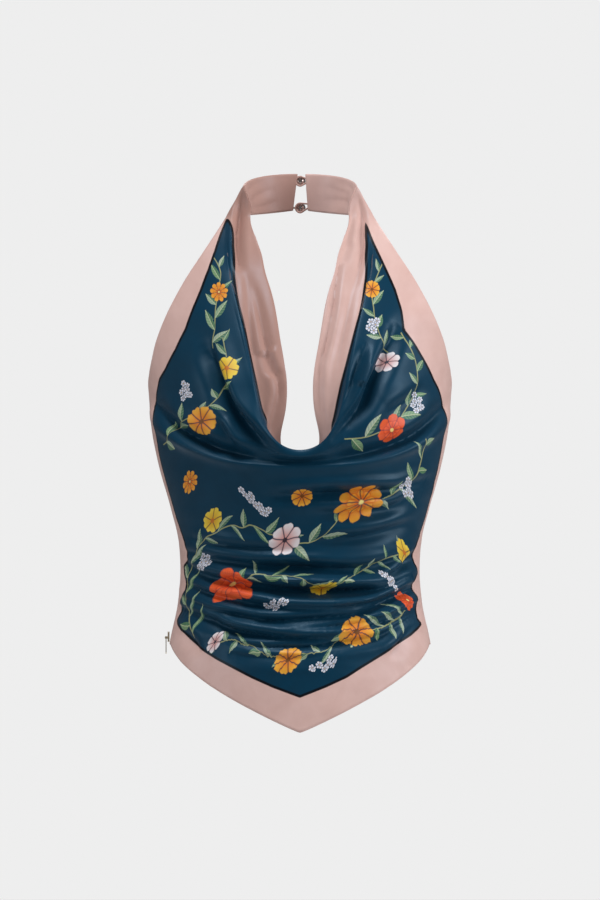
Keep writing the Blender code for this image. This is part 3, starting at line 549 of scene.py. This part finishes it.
def motifLayers(faceMiddle, corners, seen, cloth, front):
    # every face belongs to the flower, leaf and stem it lies nearest; its corners hold their own
    # places in that motif's frame, so the drawing is exact within each face
    def onCloth(points):
        points = np.atleast_2d(np.array(points, float))
        gap = ((seen[front][:, None] - points[None]) ** 2).sum(axis=2)
        return cloth[front][gap.argmin(axis=0)]

    count = len(faceMiddle)
    cornerCloth = cloth[corners]
    flowers = [(flowerKinds[kind], onCloth((out, up))[0], radius, turn)
               for kind, out, up, radius, turn in flowerPlaces]
    for out, up, spreadOut, spreadUp, heads, seed in starHeads:
        draw = np.random.default_rng(seed)
        middle = onCloth((out, up))[0]
        golden = np.arange(heads) * 2.399963
        reach = np.sqrt((np.arange(heads) + 0.5) / heads)
        offset = np.stack([np.cos(golden) * reach * spreadOut, np.sin(golden) * reach * spreadUp], axis=1)
        offset += draw.uniform(-1.0, 1.0, offset.shape)
        for step, turn in zip(offset, draw.uniform(0.0, 3.0, heads)):
            flowers.append((flowerKinds["star"], middle + step, starRadius, turn))
    best, owner = np.full(count, 1.35), np.full(count, -1)  # reach of a flower's faces in radii
    for number, (_, middle, radius, _) in enumerate(flowers):
        gap = np.linalg.norm(faceMiddle - middle, axis=1) / (radius + 1.5)
        mine = gap < best
        best[mine], owner[mine] = gap[mine], number
    place, shape = np.full((count, 4, 3), 9.0), np.zeros((count, 4, 3))
    tip, base, heart = np.zeros((3, count, 4, 4))
    for number, (kind, middle, radius, turn) in enumerate(flowers):
        mine = owner == number
        petals, gap, notch, core, cleft, ring = kind[:6]
        x, y = turned((cornerCloth[mine] - middle) / radius, turn)
        place[mine] = asPoints(x, y, np.full(x.shape, petals))
        shape[mine] = (gap, notch, core)
        tip[mine], base[mine], heart[mine] = [hexColour(text) for text in kind[6:]]
        tip[mine, :, 3], base[mine, :, 3] = cleft, ring
    leafGap, leaf = np.full(count, 1.6), np.full((count, 4, 3), 9.0)
    stemGap, stem = np.full(count, 4.0), np.full((count, 4, 3), (9.0, 0.0, 0.0))
    draw = np.random.default_rng(12)
    last = 59  # number of a stem's last place
    for half, leafLength, leafHalf, spacing, path in stemPlaces:
        line = evenLine(onCloth(evenLine(np.array(path, float), 16)), last + 1)
        line = np.stack([np.convolve(np.pad(line[:, k], 4, "edge"), np.ones(9) / 9.0, "valid")
                         for k in (0, 1)], axis=-1)
        along = unit(np.gradient(line, axis=0))
        gap = np.linalg.norm(faceMiddle[:, None] - line[None], axis=2)
        mine = gap.min(axis=1) < stemGap
        stemGap[mine] = gap.min(axis=1)[mine]
        nearest = gap.argmin(axis=1)[mine]
        local = cornerCloth[mine] - line[nearest][:, None]
        step = along[nearest][:, None]
        stem[mine, :, 0] = local[..., 1] * step[..., 0] - local[..., 0] * step[..., 1]
        stem[mine, :, 1] = half
        total = lengthAlong(line)[-1]
        for number, share in enumerate(np.arange(spacing * 0.5, total, spacing) / total):
            root = line[int(share * last)]
            ahead = math.atan2(*along[int(share * last)][::-1])
            turn = ahead + (1 if number % 2 else -1) * draw.uniform(0.55, 1.0)
            length, wide = draw.uniform(0.7, 1.12, 2) * (leafLength, leafHalf) * (1.0 - 0.35 * share)
            part, across = turned(faceMiddle - root, turn)
            part, across = part / length, across / wide
            body = np.sin(math.pi * np.clip(part, 0.02, 0.98) ** 0.8)
            past = np.maximum(-part, part - 1.0).clip(0.0) * length / 3.0
            gap = np.abs(across) / (body + 0.35) + past
            mine = gap < leafGap
            leafGap[mine] = gap[mine]
            part, across = turned(cornerCloth[mine] - root, turn)
            shade = np.full(part.shape, draw.uniform())
            leaf[mine] = asPoints(part / length, across / wide, shade)
    return {"flowerPlace": place, "flowerShape": shape, "petalTip": tip, "petalBase": base,
            "flowerHeart": heart, "leafPlace": leaf, "stemPlace": stem}


# Printed satin: silk-like warp satin, so its highlights are soft and broad and run with the folds;
# the design is dye, not relief. Threads lie 0.09 mm apart in the real cloth, and are drawn
# 0.7 mm apart so that they show close to. The neck border, most at -X, and the band's half at -X
# have painted shade: the same pink is drawn darker there, towards borderPaintedShade.
satin = {
    "field": "#083952", "fieldDeep": "#063046", "line": "#0B090E", "reverse": "#8D7F80",
    "border": "#E6C4BD", "borderDeep": "#D5AFA6", "borderPaintedShade": "#AB8479",
    "nap": (0.9, 0.2, 0.8),  # how much painted shade darkens the pink: neck border at -X, at +X, band's half at -X
    "stem": "#9FA272", "midrib": "#C6CDA6",
    "leafDark": "#3F6B50", "leafGreen": "#86A877", "leafPale": "#BECBB8",
    "thread": 0.7, "roughness": 0.41, "specular": 0.33, "specularTint": "#ACCEE6", "sheen": 0.04}


def satinFinish(tree, shader):
    # fine slanting threads and a slow unevenness in the gloss
    cloth = addNode(tree, "UVMap cloth")
    threads = addNode(tree, "TexWave", cloth, 1.0 / satin["thread"], 1.5, 2.0, 1.0, out=1,
                      wave_type="BANDS", bands_direction="DIAGONAL")
    uneven = addNode(tree, "TexNoise", {"Vector": cloth, "Scale": 0.05, "Detail": 2.0})
    rough = satin["roughness"]
    fillInputs(shader, {
        "Roughness": ("MapRange", uneven, 0.3, 0.7, rough - 0.04, rough + 0.05),
        "Normal": ("Bump", {"Strength": 0.12, "Distance": 0.00004, "Height": threads}),
        "Specular IOR Level": satin["specular"], "Specular Tint": satin["specularTint"],
        "Sheen Weight": satin["sheen"], "Sheen Roughness": 0.4})
    return uneven


def printedSatin():
    material, tree, shader = newMaterial("printed satin")

    def add(kind, *values, **settings):
        return addNode(tree, kind, *values, **settings)

    places = {}
    for name, count in (("stemPlace", 2), ("leafPlace", 3), ("flowerPlace", 3), ("flowerShape", 3)):
        at = add("Attribute " + name, out=1)
        places[name] = [at] + [add("SeparateXYZ", at, out=k) for k in range(count)]
    uneven = satinFinish(tree, shader)
    part = add("MapRange", uneven, 0.0, 1.0, 0.0, 1.0)
    colour = add("Mix RGBA", part, satin["field"], satin["fieldDeep"])
    # stems: inside half the width on either side
    _, off, half = places["stemPlace"]
    mask = add("MapRange", ("SUBTRACT", half, ("ABSOLUTE", off)), -0.25, 0.25, 0.0, 1.0)
    colour = add("Mix RGBA", mask, colour, satin["stem"])
    # leaves: half width sin(pi l^0.8), a pale midrib, one half darker, faint slanting veins
    _, along, across, shade = places["leafPlace"]
    wide = add("ABSOLUTE", across)
    body = add("SINE", ("MULTIPLY", ("POWER", ("Clamp", along, 0.0, 1.0), 0.8), math.pi))
    vein = add("SINE", ("MULTIPLY", ("SUBTRACT", ("MULTIPLY", along, 7.0), wide), 2.0 * math.pi))
    tone = add("MULTIPLY_ADD", vein, 0.14, ("MapRange", across, -0.1, 0.1, 0.18, 0.72))
    leaf = add("Mix RGBA", tone, satin["leafDark"],
               ("Mix RGBA", shade, satin["leafGreen"], satin["leafPale"]))
    leaf = add("Mix RGBA", ("MapRange", wide, 0.03, 0.11, 1.0, 0.0), leaf, satin["midrib"])
    mask = add("MapRange", ("SUBTRACT", body, wide), 0.01, 0.11, 0.0, 1.0)
    colour = add("Mix RGBA", mask, colour, leaf)
    # flowers: r = distance from the heart, f = turn within a petal from -1 to 1; a petal ends at
    # 1 - notch f^2.6 less its cleft, and stops short of its neighbour by the gap
    flowerAt, x, y, petals = places["flowerPlace"]
    _, gap, notch, core = places["flowerShape"]
    cleft, ring = [add("Attribute " + name, out=3) for name in ("petalTip", "petalBase")]
    inner, outer, heart = [add("Attribute " + name) for name in ("petalBase", "petalTip", "flowerHeart")]
    r = add("SQRT", ("MULTIPLY_ADD", x, x, ("MULTIPLY", y, y)))
    share = add("MULTIPLY_ADD", ("ARCTAN2", y, x), 0.5 / math.pi, 0.5)
    f = add("MULTIPLY_ADD", ("FRACT", ("MULTIPLY", share, petals)), 2.0, -1.0)
    size = add("ABSOLUTE", f)
    step = add("DIVIDE", math.pi, petals)
    colour = add("Mix RGBA", ("MapRange", r, 0.85, 1.0, 1.0, 0.0), colour, satin["fieldDeep"])
    noise = add("TexNoise", {"Vector": flowerAt, "Scale": 3.2, "Detail": 1.0})
    ruffle = add("MapRange", noise, 0.0, 1.0, -0.08, 0.08)
    for scale, shifted in ((1.0, False), (0.58, True)):  # the inner ring's petals lie between
        aside = add("SUBTRACT", 1.0, size) if shifted else size
        reach = add("DIVIDE", r, scale)
        rim = add("SUBTRACT", 1.0, ("MULTIPLY", notch, ("POWER", aside, 2.6)))
        dip = add("MULTIPLY", cleft, ("MapRange", aside, 0.0, 0.4, 1.0, 0.0))
        rim = add("ADD", ("SUBTRACT", rim, dip), ruffle)
        turn = add("MULTIPLY", ("SUBTRACT", 1.0, aside), step)
        fromGap = add("SUBTRACT", ("MULTIPLY", reach, ("SINE", turn)), gap)
        petal = add("MINIMUM", ("SUBTRACT", rim, reach), fromGap)
        streak = add("SINE", ("MULTIPLY", ("MULTIPLY", f, petals), 4.5))
        tone = add("MULTIPLY_ADD", streak, 0.13, ("MapRange", reach, 0.15, 0.9, 0.0, 1.0))
        paint = add("Mix RGBA", tone, inner, outer)
        paint = add("Mix RGBA", ("MapRange", fromGap, 0.0, 0.10, 0.6, 0.0), paint, inner)
        if not shifted:
            flower = paint
            flowerMask = add("MapRange", petal, -0.025, 0.025, 0.0, 1.0)
        else:  # the ring's soft shadow, then the ring
            for low, high, most, over in ((-0.16, -0.02, 0.75, inner), (-0.03, 0.03, 1.0, paint)):
                mask = add("MULTIPLY", ring, ("MapRange", petal, low, high, 0.0, most))
                flower = add("Mix RGBA", mask, flower, over)
    colour = add("Mix RGBA", flowerMask, colour, flower)
    mask = add("MapRange", ("SUBTRACT", core, r), -0.03, 0.03, 0.0, 1.0)
    colour = add("Mix RGBA", mask, colour, heart)
    # beyond the black line the cloth is dusty pink, and its wrong side takes less dye
    away, nap, wrongSide = [add("Attribute " + name, out=2)
                            for name in ("fieldDistance", "nap", "wrongSide")]
    pink = add("Mix RGBA", part, satin["border"], satin["borderDeep"])
    # painted shade: the pink is darkened towards borderPaintedShade where the nap attribute is set
    pink = add("Mix RGBA", nap, pink, satin["borderPaintedShade"])
    for edge, over in ((fieldEdge["line"], satin["line"]), (-fieldEdge["line"], pink)):
        colour = add("Mix RGBA", ("MapRange", away, edge - 0.3, edge + 0.3, 1.0, 0.0), colour, over)
    colour = add("Mix RGBA", ("MULTIPLY", wrongSide, 0.35), colour, satin["reverse"])
    fillInputs(shader, {"Base Color": colour})
    return material


def plainSatin(name, pale, deep):
    # the same satin dyed one dusty pink, darkened with painted shade where the nap attribute is set
    material, tree, shader = newMaterial(name)
    part = addNode(tree, "MapRange", satinFinish(tree, shader), 0.0, 1.0, 0.0, 1.0)
    nap = addNode(tree, "Attribute nap", out=2)
    colour = addNode(tree, "Mix RGBA", part, pale, deep)
    fillInputs(shader, {"Base Color": ("Mix RGBA", nap, colour, satin["borderPaintedShade"])})
    return material


def platedMetal(name, colour, roughness):
    # thin plating over zinc: bright, with hairline scuffs from handling, grain 0.4 mm
    material, tree, shader = newMaterial(name)
    at = addNode(tree, "TexCoord", out=3)
    scuffs = addNode(tree, "TexNoise", {"Vector": at, "Scale": 2500.0, "Detail": 3.0})
    fillInputs(shader, {
        "Base Color": colour, "Metallic": 1.0,
        "Roughness": ("MapRange", scuffs, 0.3, 0.7, roughness - 0.05, roughness + 0.08),
        "Normal": ("Bump", {"Strength": 0.1, "Distance": 0.00002, "Height": scuffs})})
    return material


def dyedNylon():
    # extruded nylon dyed to match the border, faintly mottled, grain 2 mm
    material, tree, shader = newMaterial("dyed nylon zip coil")
    at = addNode(tree, "TexCoord", out=3)
    mottle = addNode(tree, "TexNoise", {"Vector": at, "Scale": 500.0, "Detail": 2.0})
    fillInputs(shader, {"Base Color": ("Mix RGBA", mottle, "#C09A90", "#B28A80"), "Roughness": 0.38})
    return material


printSatin = printedSatin()
pinkSatin = plainSatin("plain pink satin", satin["border"], satin["borderDeep"])
rouleauSatin = plainSatin("rouleau satin", "#C7A096", "#B98E83")
roseMetal = platedMetal("rose plated metal", "#D2C2BE", 0.13)
coilNylon = dyedNylon()
goldMetal = platedMetal("pale gold plated metal", "#EADBC0", 0.36)
print("materials made")

# Front panel
outer, place, arc, height, places = frontCloth()
inner = outer - frontPanel["wall"] * gridNormals(outer)
for part in (slice(0, frontPanel["strapColumns"]), slice(-frontPanel["strapColumns"], None)):
    inner[-1, part] += frontPanel["mitre"] * unit(outer[-2, part] - outer[-1, part])
length = lengthAlong(outer)
mapPlace = places[frontPanel["mapRow"]]
mapRow = int(np.argmin(np.abs(place[:, 0] - mapPlace)))
down = np.where(place < mapPlace, height[mapRow] - (length[mapRow] - length), height)
flat = asPoints(arc, down)
front, faces, loop = wallPiece("front_cloth", outer, inner, printSatin, flat)
clothPlace = onWall(flat, loop)
isFront = onWall(place, loop) <= places[-3]
isFront[arc.size:] = False
layers = motifLayers(clothPlace[faces].mean(axis=1), faces, onWall(outer[..., [0, 2]], loop),
                     clothPlace, isFront)
# painted shade on the neck border above its inner line: strong at -X, faint at +X
paintedShadeLeft, paintedShadeRight, paintedShadeBand = satin["nap"]
nap = np.clip((place - places[-2] + 1.0) / 1.5, 0.0, 1.0) * np.where(arc < 0.0, paintedShadeLeft, paintedShadeRight)
away = fieldDistance(outer, place, arc, height, places)
layers["fieldDistance"], layers["nap"] = onWall(away, loop), onWall(nap, loop)
layers["wrongSide"] = np.repeat((0.0, 1.0, 0.0), (arc.size, arc.size, len(loop)))
for name, values in layers.items():
    addLayer(front.data, name, values)
frontArea, neckEdge = clothArea(outer), outer[-1]
print("front panel made, area", round(frontArea, 4), "triangles", 2 * len(faces))
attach(front, "garment")
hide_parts("front_panel")

# Back panel: low, plain, lightly ruched at both side seams
backPanel = {
    "wall": 1.1, "columns": 150, "rows": 120, "seams": (90.13, 269.87), "seamReach": 4,  # turns
    "hem": -442, "hemDip": 10, "top": -207, "topDip": 109, "topCurve": 1.3, "unevenness": 0.6,
    "creases": (
        (6, 3.2, ((-116, -352), (-96, -358), (-62, -360))),
        (6, 3.4, ((-116, -374), (-88, -383), (-40, -386))),
        (5, 2.6, ((-117, -394), (-96, -400), (-70, -402))),
        (6, 3.4, ((-120, -412), (-90, -420), (-34, -424))),
        (5, 2.4, ((-122, -428), (-104, -434), (-84, -436))),
        (7, 2, ((-120, -328), (-100, -340), (-82, -346))), (6, 3, ((116, -348), (92, -355), (58, -357))),
        (6, 3.4, ((116, -368), (84, -378), (36, -382))), (5, 2.8, ((117, -388), (94, -396), (62, -399))),
        (6, 3.4, ((119, -406), (86, -416), (30, -420))), (5, 2.4, ((122, -424), (106, -431), (80, -434))),
        (7, 2.2, ((121, -322), (98, -336), (78, -342))), (8, 1.6, ((-60, -372), (0, -376), (56, -370))),
        (8, 1.6, ((-52, -404), (4, -409), (60, -404))))}


def backCloth():
    # rows from the hem to the top edge, columns from the +X side seam to the -X one
    turn = np.linspace(*backPanel["seams"], backPanel["columns"] + 1)[None, :]
    middle = np.sin(np.radians(turn - 90.0))
    rise = np.linspace(0.0, 1.0, backPanel["rows"] + 1)[:, None]
    hem = backPanel["hem"] - backPanel["hemDip"] * middle ** 2
    top = backPanel["top"] - backPanel["topDip"] * middle ** backPanel["topCurve"]
    up = between(hem, top, rise)
    turn = turn + 0.0 * up
    seen = onFigure(turn, up, 0.0)[..., [0, 2]]
    free = np.clip(np.minimum(turn - 90.0, 270.0 - turn) / backPanel["seamReach"], 0.0, 1.0)
    small = softNoise(turn / 9.0, up / 26.0, 21) * backPanel["unevenness"]
    proud = -(creaseDepth(seen, backPanel["creases"]) + small) * free
    return onFigure(turn, up, proud), turn


outer, turn = backCloth()
inner = outer - backPanel["wall"] * gridNormals(outer)
flat = asPoints((turn - 180.0) * 2.2, lengthAlong(outer))  # 2.2 mm a degree
back, _, _ = wallPiece("back_cloth", outer, inner, pinkSatin, flat)
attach(back, "garment")
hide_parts("back_panel")

# Neckband
neckband = {
    "wall": 1.4, "height": 33, "steps": 90, "rows": 24, "start": 0.5, "mitre": 1.2, "waves": 0.45,
    "back": 1.5, "depth": 53.5,
    "turns": (92, 86), "halfWidths": (49.5, 56.3),  # of its low edge and its top edge
    "topRise": 12.7, "lowRise": 5.9, "riseCurve": 2.1, "lowSeam": -18.7,
    "ends": ((-7.4, -2.9), (8.3, 5.8)),  # low and top end of the left half, then of the right one
    "leftCreases": (  # width, depth, and path along the band from its strap and up from its low edge
        (6, 1.1, ((-2, 21), (20, 26), (48, 31))), (7, 1.1, ((-2, 11), (26, 15), (58, 21))),
        (6, 0.8, ((10, 3), (32, 5), (60, 9)))),
    "rightCreases": (
        (6, 1.1, ((-2, 24), (20, 27), (46, 29))), (7, 1.2, ((-2, 8), (26, 12), (58, 10))),
        (6, 0.9, ((12, 19), (34, 20), (60, 23))))}


def bandLine(start, up, end, side):
    # round the neck: x = w sin a, y = d cos a - d, easing from the strap's end as (1 - s)^3
    share = np.linspace(0.0, 1.0, 600)
    halfWidth = between(*neckband["halfWidths"], up)
    angle = np.radians(between(*neckband["turns"], up)) * (1.0 - share)
    lowRise = neckband["lowRise"] * share ** 2
    topRise = neckband["topRise"] * (1.0 - (1.0 - share) ** neckband["riseCurve"])
    line = asPoints(side * halfWidth * np.sin(angle),
                    neckband["back"] - neckband["depth"] + neckband["depth"] * np.cos(angle),
                    start[2] + lowRise + (topRise - lowRise) * up)
    line += (start - line[0]) * (1.0 - share[:, None]) ** 3
    line = line[side * line[:, 0] >= side * end]
    steps = lengthAlong(line)
    wanted = np.linspace(neckband["start"], steps[-1], neckband["steps"] + 1)
    return readAlong(wanted, steps, line), wanted


def bandHalf(name, side, ends, creases):
    # lines one above another from the strap's seam to the band's end; side is -1 or 1
    half = frontPanel["halfColumns"]
    edge = neckEdge[:half] if side < 0 else neckEdge[:half:-1]
    ups = np.linspace(0.0, 1.0, neckband["rows"] + 1)
    starts = readAlong(-between(neckband["lowSeam"], edge[0, 2], ups), -edge[:, 2], edge)
    made = [bandLine(start, up, between(*ends, up), side) for start, up in zip(starts, ups)]
    grid, along = [np.array(rows) for rows in zip(*made)]
    if side < 0:
        grid, along = grid[:, ::-1], along[:, ::-1]
    across = np.linspace(0.0, neckband["height"], len(ups))[:, None] + 0.0 * along
    still = np.clip(np.minimum(along - 1.0, along.max() - along) / 10.0, 0.0, 1.0)
    still *= np.sin(math.pi * np.clip(across / neckband["height"], 0.04, 0.96)) ** 0.6
    slant = along * 0.86 + side * across * 0.5
    wave = neckband["waves"] * softNoise(slant / 14.0, across / 30.0, 31 + side)
    flat = asPoints(along, across)
    grid = grid + ((wave + creaseDepth(flat, creases)) * still)[..., None] * gridNormals(grid)
    inside = grid - neckband["wall"] * gridNormals(grid)
    seam, after = (0, 1) if side > 0 else (-1, -2)
    inside[:, seam] += neckband["mitre"] * unit(grid[:, after] - grid[:, seam])
    return wallPiece(name, grid, inside, pinkSatin, flat)[0], float(along.max()) * mm


bandLeft, bandLength = bandHalf("neckband_left_cloth", -1, neckband["ends"][0], neckband["leftCreases"])
bandRight, _ = bandHalf("neckband_right_cloth", 1, neckband["ends"][1], neckband["rightCreases"])
# painted shade over the whole left half of the neckband
addLayer(bandLeft.data, "nap", np.full(len(bandLeft.data.vertices), paintedShadeBand))
for piece, node in ((bandLeft, "neckband_left"), (bandRight, "neckband_right")):
    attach(piece, "garment")
    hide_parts(node)
print("neckband made, half length", round(bandLength, 4))

# Buttons and their loops: out, back and up are places across, from front to back, and in height
fastening = {
    "radius": 5.2, "out": 0.3, "back": 5.9, "heights": ((14.8, 15.2), (-11.6, -9.4)),  # button, loop
    "shankRadius": 0.9, "shankEnd": (-8.6, 2.05), "footRadius": 1.3, "footStart": 0.30,
    "loopRadius": 0.85, "loopBend": 4.6, "loopBack": 0.75, "loopParting": 1.7, "inset": 0.9}


def closedSurface(name, grid, material):
    # a grid whose rows close on themselves and whose ends meet in points
    rows, columns = grid.shape[:2]
    index = np.arange(rows * columns).reshape(rows, columns)
    after = np.roll(index, -1, axis=1)
    quads = asPoints(index[:-1], after[:-1], after[1:], index[1:]).reshape(-1, 4)
    mesh = bpy.data.meshes.new(name)
    mesh.from_pydata(grid.reshape(-1, 3) * mm, [], quads)
    shell = bmesh.new()
    shell.from_mesh(mesh)
    bmesh.ops.remove_doubles(shell, verts=shell.verts, dist=0.00001)
    bmesh.ops.dissolve_degenerate(shell, edges=shell.edges, dist=0.000001)
    bmesh.ops.recalc_face_normals(shell, faces=shell.faces)
    shell.to_mesh(mesh)
    shell.free()
    mesh.shade_smooth()
    return newObject(name, mesh, material)


def rings(side, over, count):
    # a circle of radius one in the plane of two directions, or in each of many such planes
    turn = np.linspace(0.0, 2.0 * math.pi, count, endpoint=False)[:, None]
    return np.cos(turn) * side[..., None, :] + np.sin(turn) * over[..., None, :]


def ballButton(name, up):
    # a turned ball with a turned foot, its axis along the shank
    middle = np.array([fastening["out"], fastening["back"], up])
    along = np.array([*fastening["shankEnd"], up]) - middle
    reach = float(np.linalg.norm(along))
    axis = along / reach
    radius, shank = fastening["radius"], fastening["shankRadius"]
    angles = np.linspace(0.0, math.pi - fastening["footStart"], 30)
    foot = [(fastening["footRadius"], radius + 0.2), (shank, radius + 0.6), (shank, reach), (0.0, reach)]
    profile = np.concatenate([radius * asPoints(np.sin(angles), -np.cos(angles)), foot])
    across = unit(np.cross(axis, (0.0, 0.0, 1.0)))
    ring = rings(across, np.cross(axis, across), 40)
    grid = middle + profile[:, 1, None, None] * axis + profile[:, 0, None, None] * ring[None]
    return closedSurface(name, grid, roseMetal)


def tube(name, path, radius, sides, material, axis=(0.0, 1.0, 0.001)):
    # a ring of radius r carried along the path, square to it and set by the axis, its ends closed
    along = unit(np.gradient(path, axis=0))
    side = unit(np.cross(along, axis))
    grid = path[:, None] + radius * rings(side, np.cross(along, side), sides)
    ends = [np.repeat(path[k][None, None], sides, axis=1) for k in (0, -1)]
    return closedSurface(name, np.concatenate([ends[0], grid, ends[1]]), material)


def buttonLoop(name, up, endUp):
    # a bend of most of a circle round the button, with its ends led into the band's end
    angle = np.radians(np.linspace(80.0, 280.0, 41))
    bend = asPoints(fastening["out"] + fastening["loopBend"] * np.cos(angle),
                    up + fastening["loopBend"] * np.sin(angle))
    share = (endUp - neckband["lowSeam"] - neckband["lowRise"]) / neckband["height"]
    root = between(*neckband["ends"][1], share) + fastening["inset"]
    start, end = [(root, endUp + sign * fastening["loopParting"]) for sign in (1.0, -1.0)]
    flat = np.concatenate([np.linspace(start, bend[0], 6)[:-1], bend, np.linspace(bend[-1], end, 6)[1:]])
    path = asPoints(flat[:, 0], np.full(len(flat), fastening["loopBack"]), flat[:, 1])
    piece = tube(name, path, fastening["loopRadius"], 16, rouleauSatin)
    where = np.empty(3 * len(piece.data.vertices), np.float32)
    piece.data.vertices.foreach_get("co", where)
    addUv(piece.data, where.reshape(-1, 3)[:, [0, 2]] / mm)
    return piece


for label, (up, endUp) in zip(("upper", "lower"), fastening["heights"]):
    ball = ballButton("ball_button_" + label, up)
    rouleau = buttonLoop("rouleau_loop_" + label, up, endUp)
    for piece, node, material in ((ball, "button_" + label, "rose_metal"),
                                  (rouleau, "loop_" + label, "pink_rouleau")):
        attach(piece, "garment")
        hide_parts(node)
print("buttons and loops made")

for node in ("zip_slider", "zip_pull"):
    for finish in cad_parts[node].material_slots:
        finish.material = goldMetal

# Zip coil: one nylon wire wound flat, its turns where the two rows of a closed zip's teeth mesh
zipCoil = {"top": -232.6, "bottom": -439.4, "pitch": 1.1, "wire": 0.28, "halfWidth": 1.0, "halfDepth": 0.6,
           "inside": 2.8, "pointsPerTurn": 12, "sides": 5}
turns = (zipCoil["top"] - zipCoil["bottom"]) / zipCoil["pitch"]
phase = np.linspace(0.0, 2.0 * math.pi * turns, int(turns * zipCoil["pointsPerTurn"]))
up = zipCoil["bottom"] + (zipCoil["top"] - zipCoil["bottom"]) * phase / phase[-1]
halfWidth, _, seam, _ = figureAt(up)
# an oval turn: x = seam + depth cos p, y = seam + width sin p, rising one pitch in each round
wire = asPoints(-halfWidth + zipCoil["inside"] + (zipCoil["halfDepth"] - zipCoil["wire"]) * np.cos(phase),
                seam + (zipCoil["halfWidth"] - zipCoil["wire"]) * np.sin(phase), up)
coil = tube("zip_coil_wire", wire, zipCoil["wire"], zipCoil["sides"], coilNylon, (0.0, 0.0, 1.0))
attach(coil, "garment")
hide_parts("zip_coil")
print("zip made, turns", round(turns), "triangles", 10 * len(wire))

# Studio: a pale floor well below, and soft boxes at both sides (the right one stronger), over the
# front and behind. Places and sizes are in metres, power is in watts.
studio = {
    "surround": "#EEEEEE", "surroundRadius": 40.0, "ambient": 0.14,
    "floor": "#DDDDDD", "floorUp": -1.25, "floorHalf": 30,
    "distance": 24.0, "plane": -0.12, "frameHeight": 0.8856, "middleUp": -0.251, "aimFront": -0.1,
    "lights": {  # place, side, power
        "right": ((2.4, -1.0, 0.6), 1.3, 43.0), "left": ((-2.5, -1.4, 0.2), 1.3, 16.0),
        "high": ((-0.2, -1.1, 2.5), 0.9, 54.0), "back": ((0.4, 2.2, 1.6), 1.6, 30.0)}}
world = bpy.data.worlds.new("studio")
world.use_nodes = True
fillInputs(world.node_tree.nodes["Background"],
           {"Color": studio["surround"], "Strength": studio["ambient"]})
bpy.context.scene.world = world
bpy.context.scene.view_settings.view_transform = "Standard"

floorMesh = bpy.data.meshes.new("studio_floor")
wide, low = studio["floorHalf"], studio["floorUp"]
floorMesh.from_pydata([(-wide, -wide, low), (wide, -wide, low), (wide, wide, low), (-wide, wide, low)],
                      [], [(0, 1, 2, 3)])
floorPaint, _, shader = newMaterial("matt studio floor paint")
fillInputs(shader, {"Base Color": studio["floor"], "Roughness": 0.8})
floor = newObject("studio_floor", floorMesh, floorPaint)

# a pale surround that only the camera sees, so that it doesn't flatten the folds
dome = bmesh.new()
bmesh.ops.create_uvsphere(dome, u_segments=48, v_segments=24, radius=studio["surroundRadius"])
bmesh.ops.reverse_faces(dome, faces=dome.faces)
domeMesh = bpy.data.meshes.new("studio_surround")
dome.to_mesh(domeMesh)
dome.free()
surroundPaper, _, shader = newMaterial("matt studio paper")
fillInputs(shader, {"Base Color": "#000000", "Specular IOR Level": 0.0,
                    "Emission Color": studio["surround"], "Emission Strength": 1.0})
surround = newObject("studio_surround", domeMesh, surroundPaper)
surround.visible_diffuse = surround.visible_glossy = surround.visible_shadow = False

for name, (spot, size, power) in studio["lights"].items():
    lamp = bpy.data.lights.new(name, "AREA")
    lamp.shape = "SQUARE"
    lamp.size = size
    lamp.energy = power
    light = bpy.data.objects.new(name, lamp)
    aim = np.array((0.0, studio["aimFront"], studio["middleUp"])) - np.array(spot)
    light.location = spot
    light.rotation_euler = (math.acos(-aim[2] / np.linalg.norm(aim)), 0.0, math.atan2(-aim[0], aim[1]))
    bpy.context.collection.objects.link(light)

lens = bpy.data.cameras.new("camera")
lens.sensor_fit = "VERTICAL"
lens.angle = 2.0 * math.atan(studio["frameHeight"] / 2.0 / studio["distance"])
camera = bpy.data.objects.new("camera", lens)
camera.location = (0.0, studio["plane"] - studio["distance"], studio["middleUp"])
camera.rotation_euler = (math.pi / 2.0, 0.0, 0.0)
bpy.context.collection.objects.link(camera)
bpy.context.scene.camera = camera
print("studio ready")
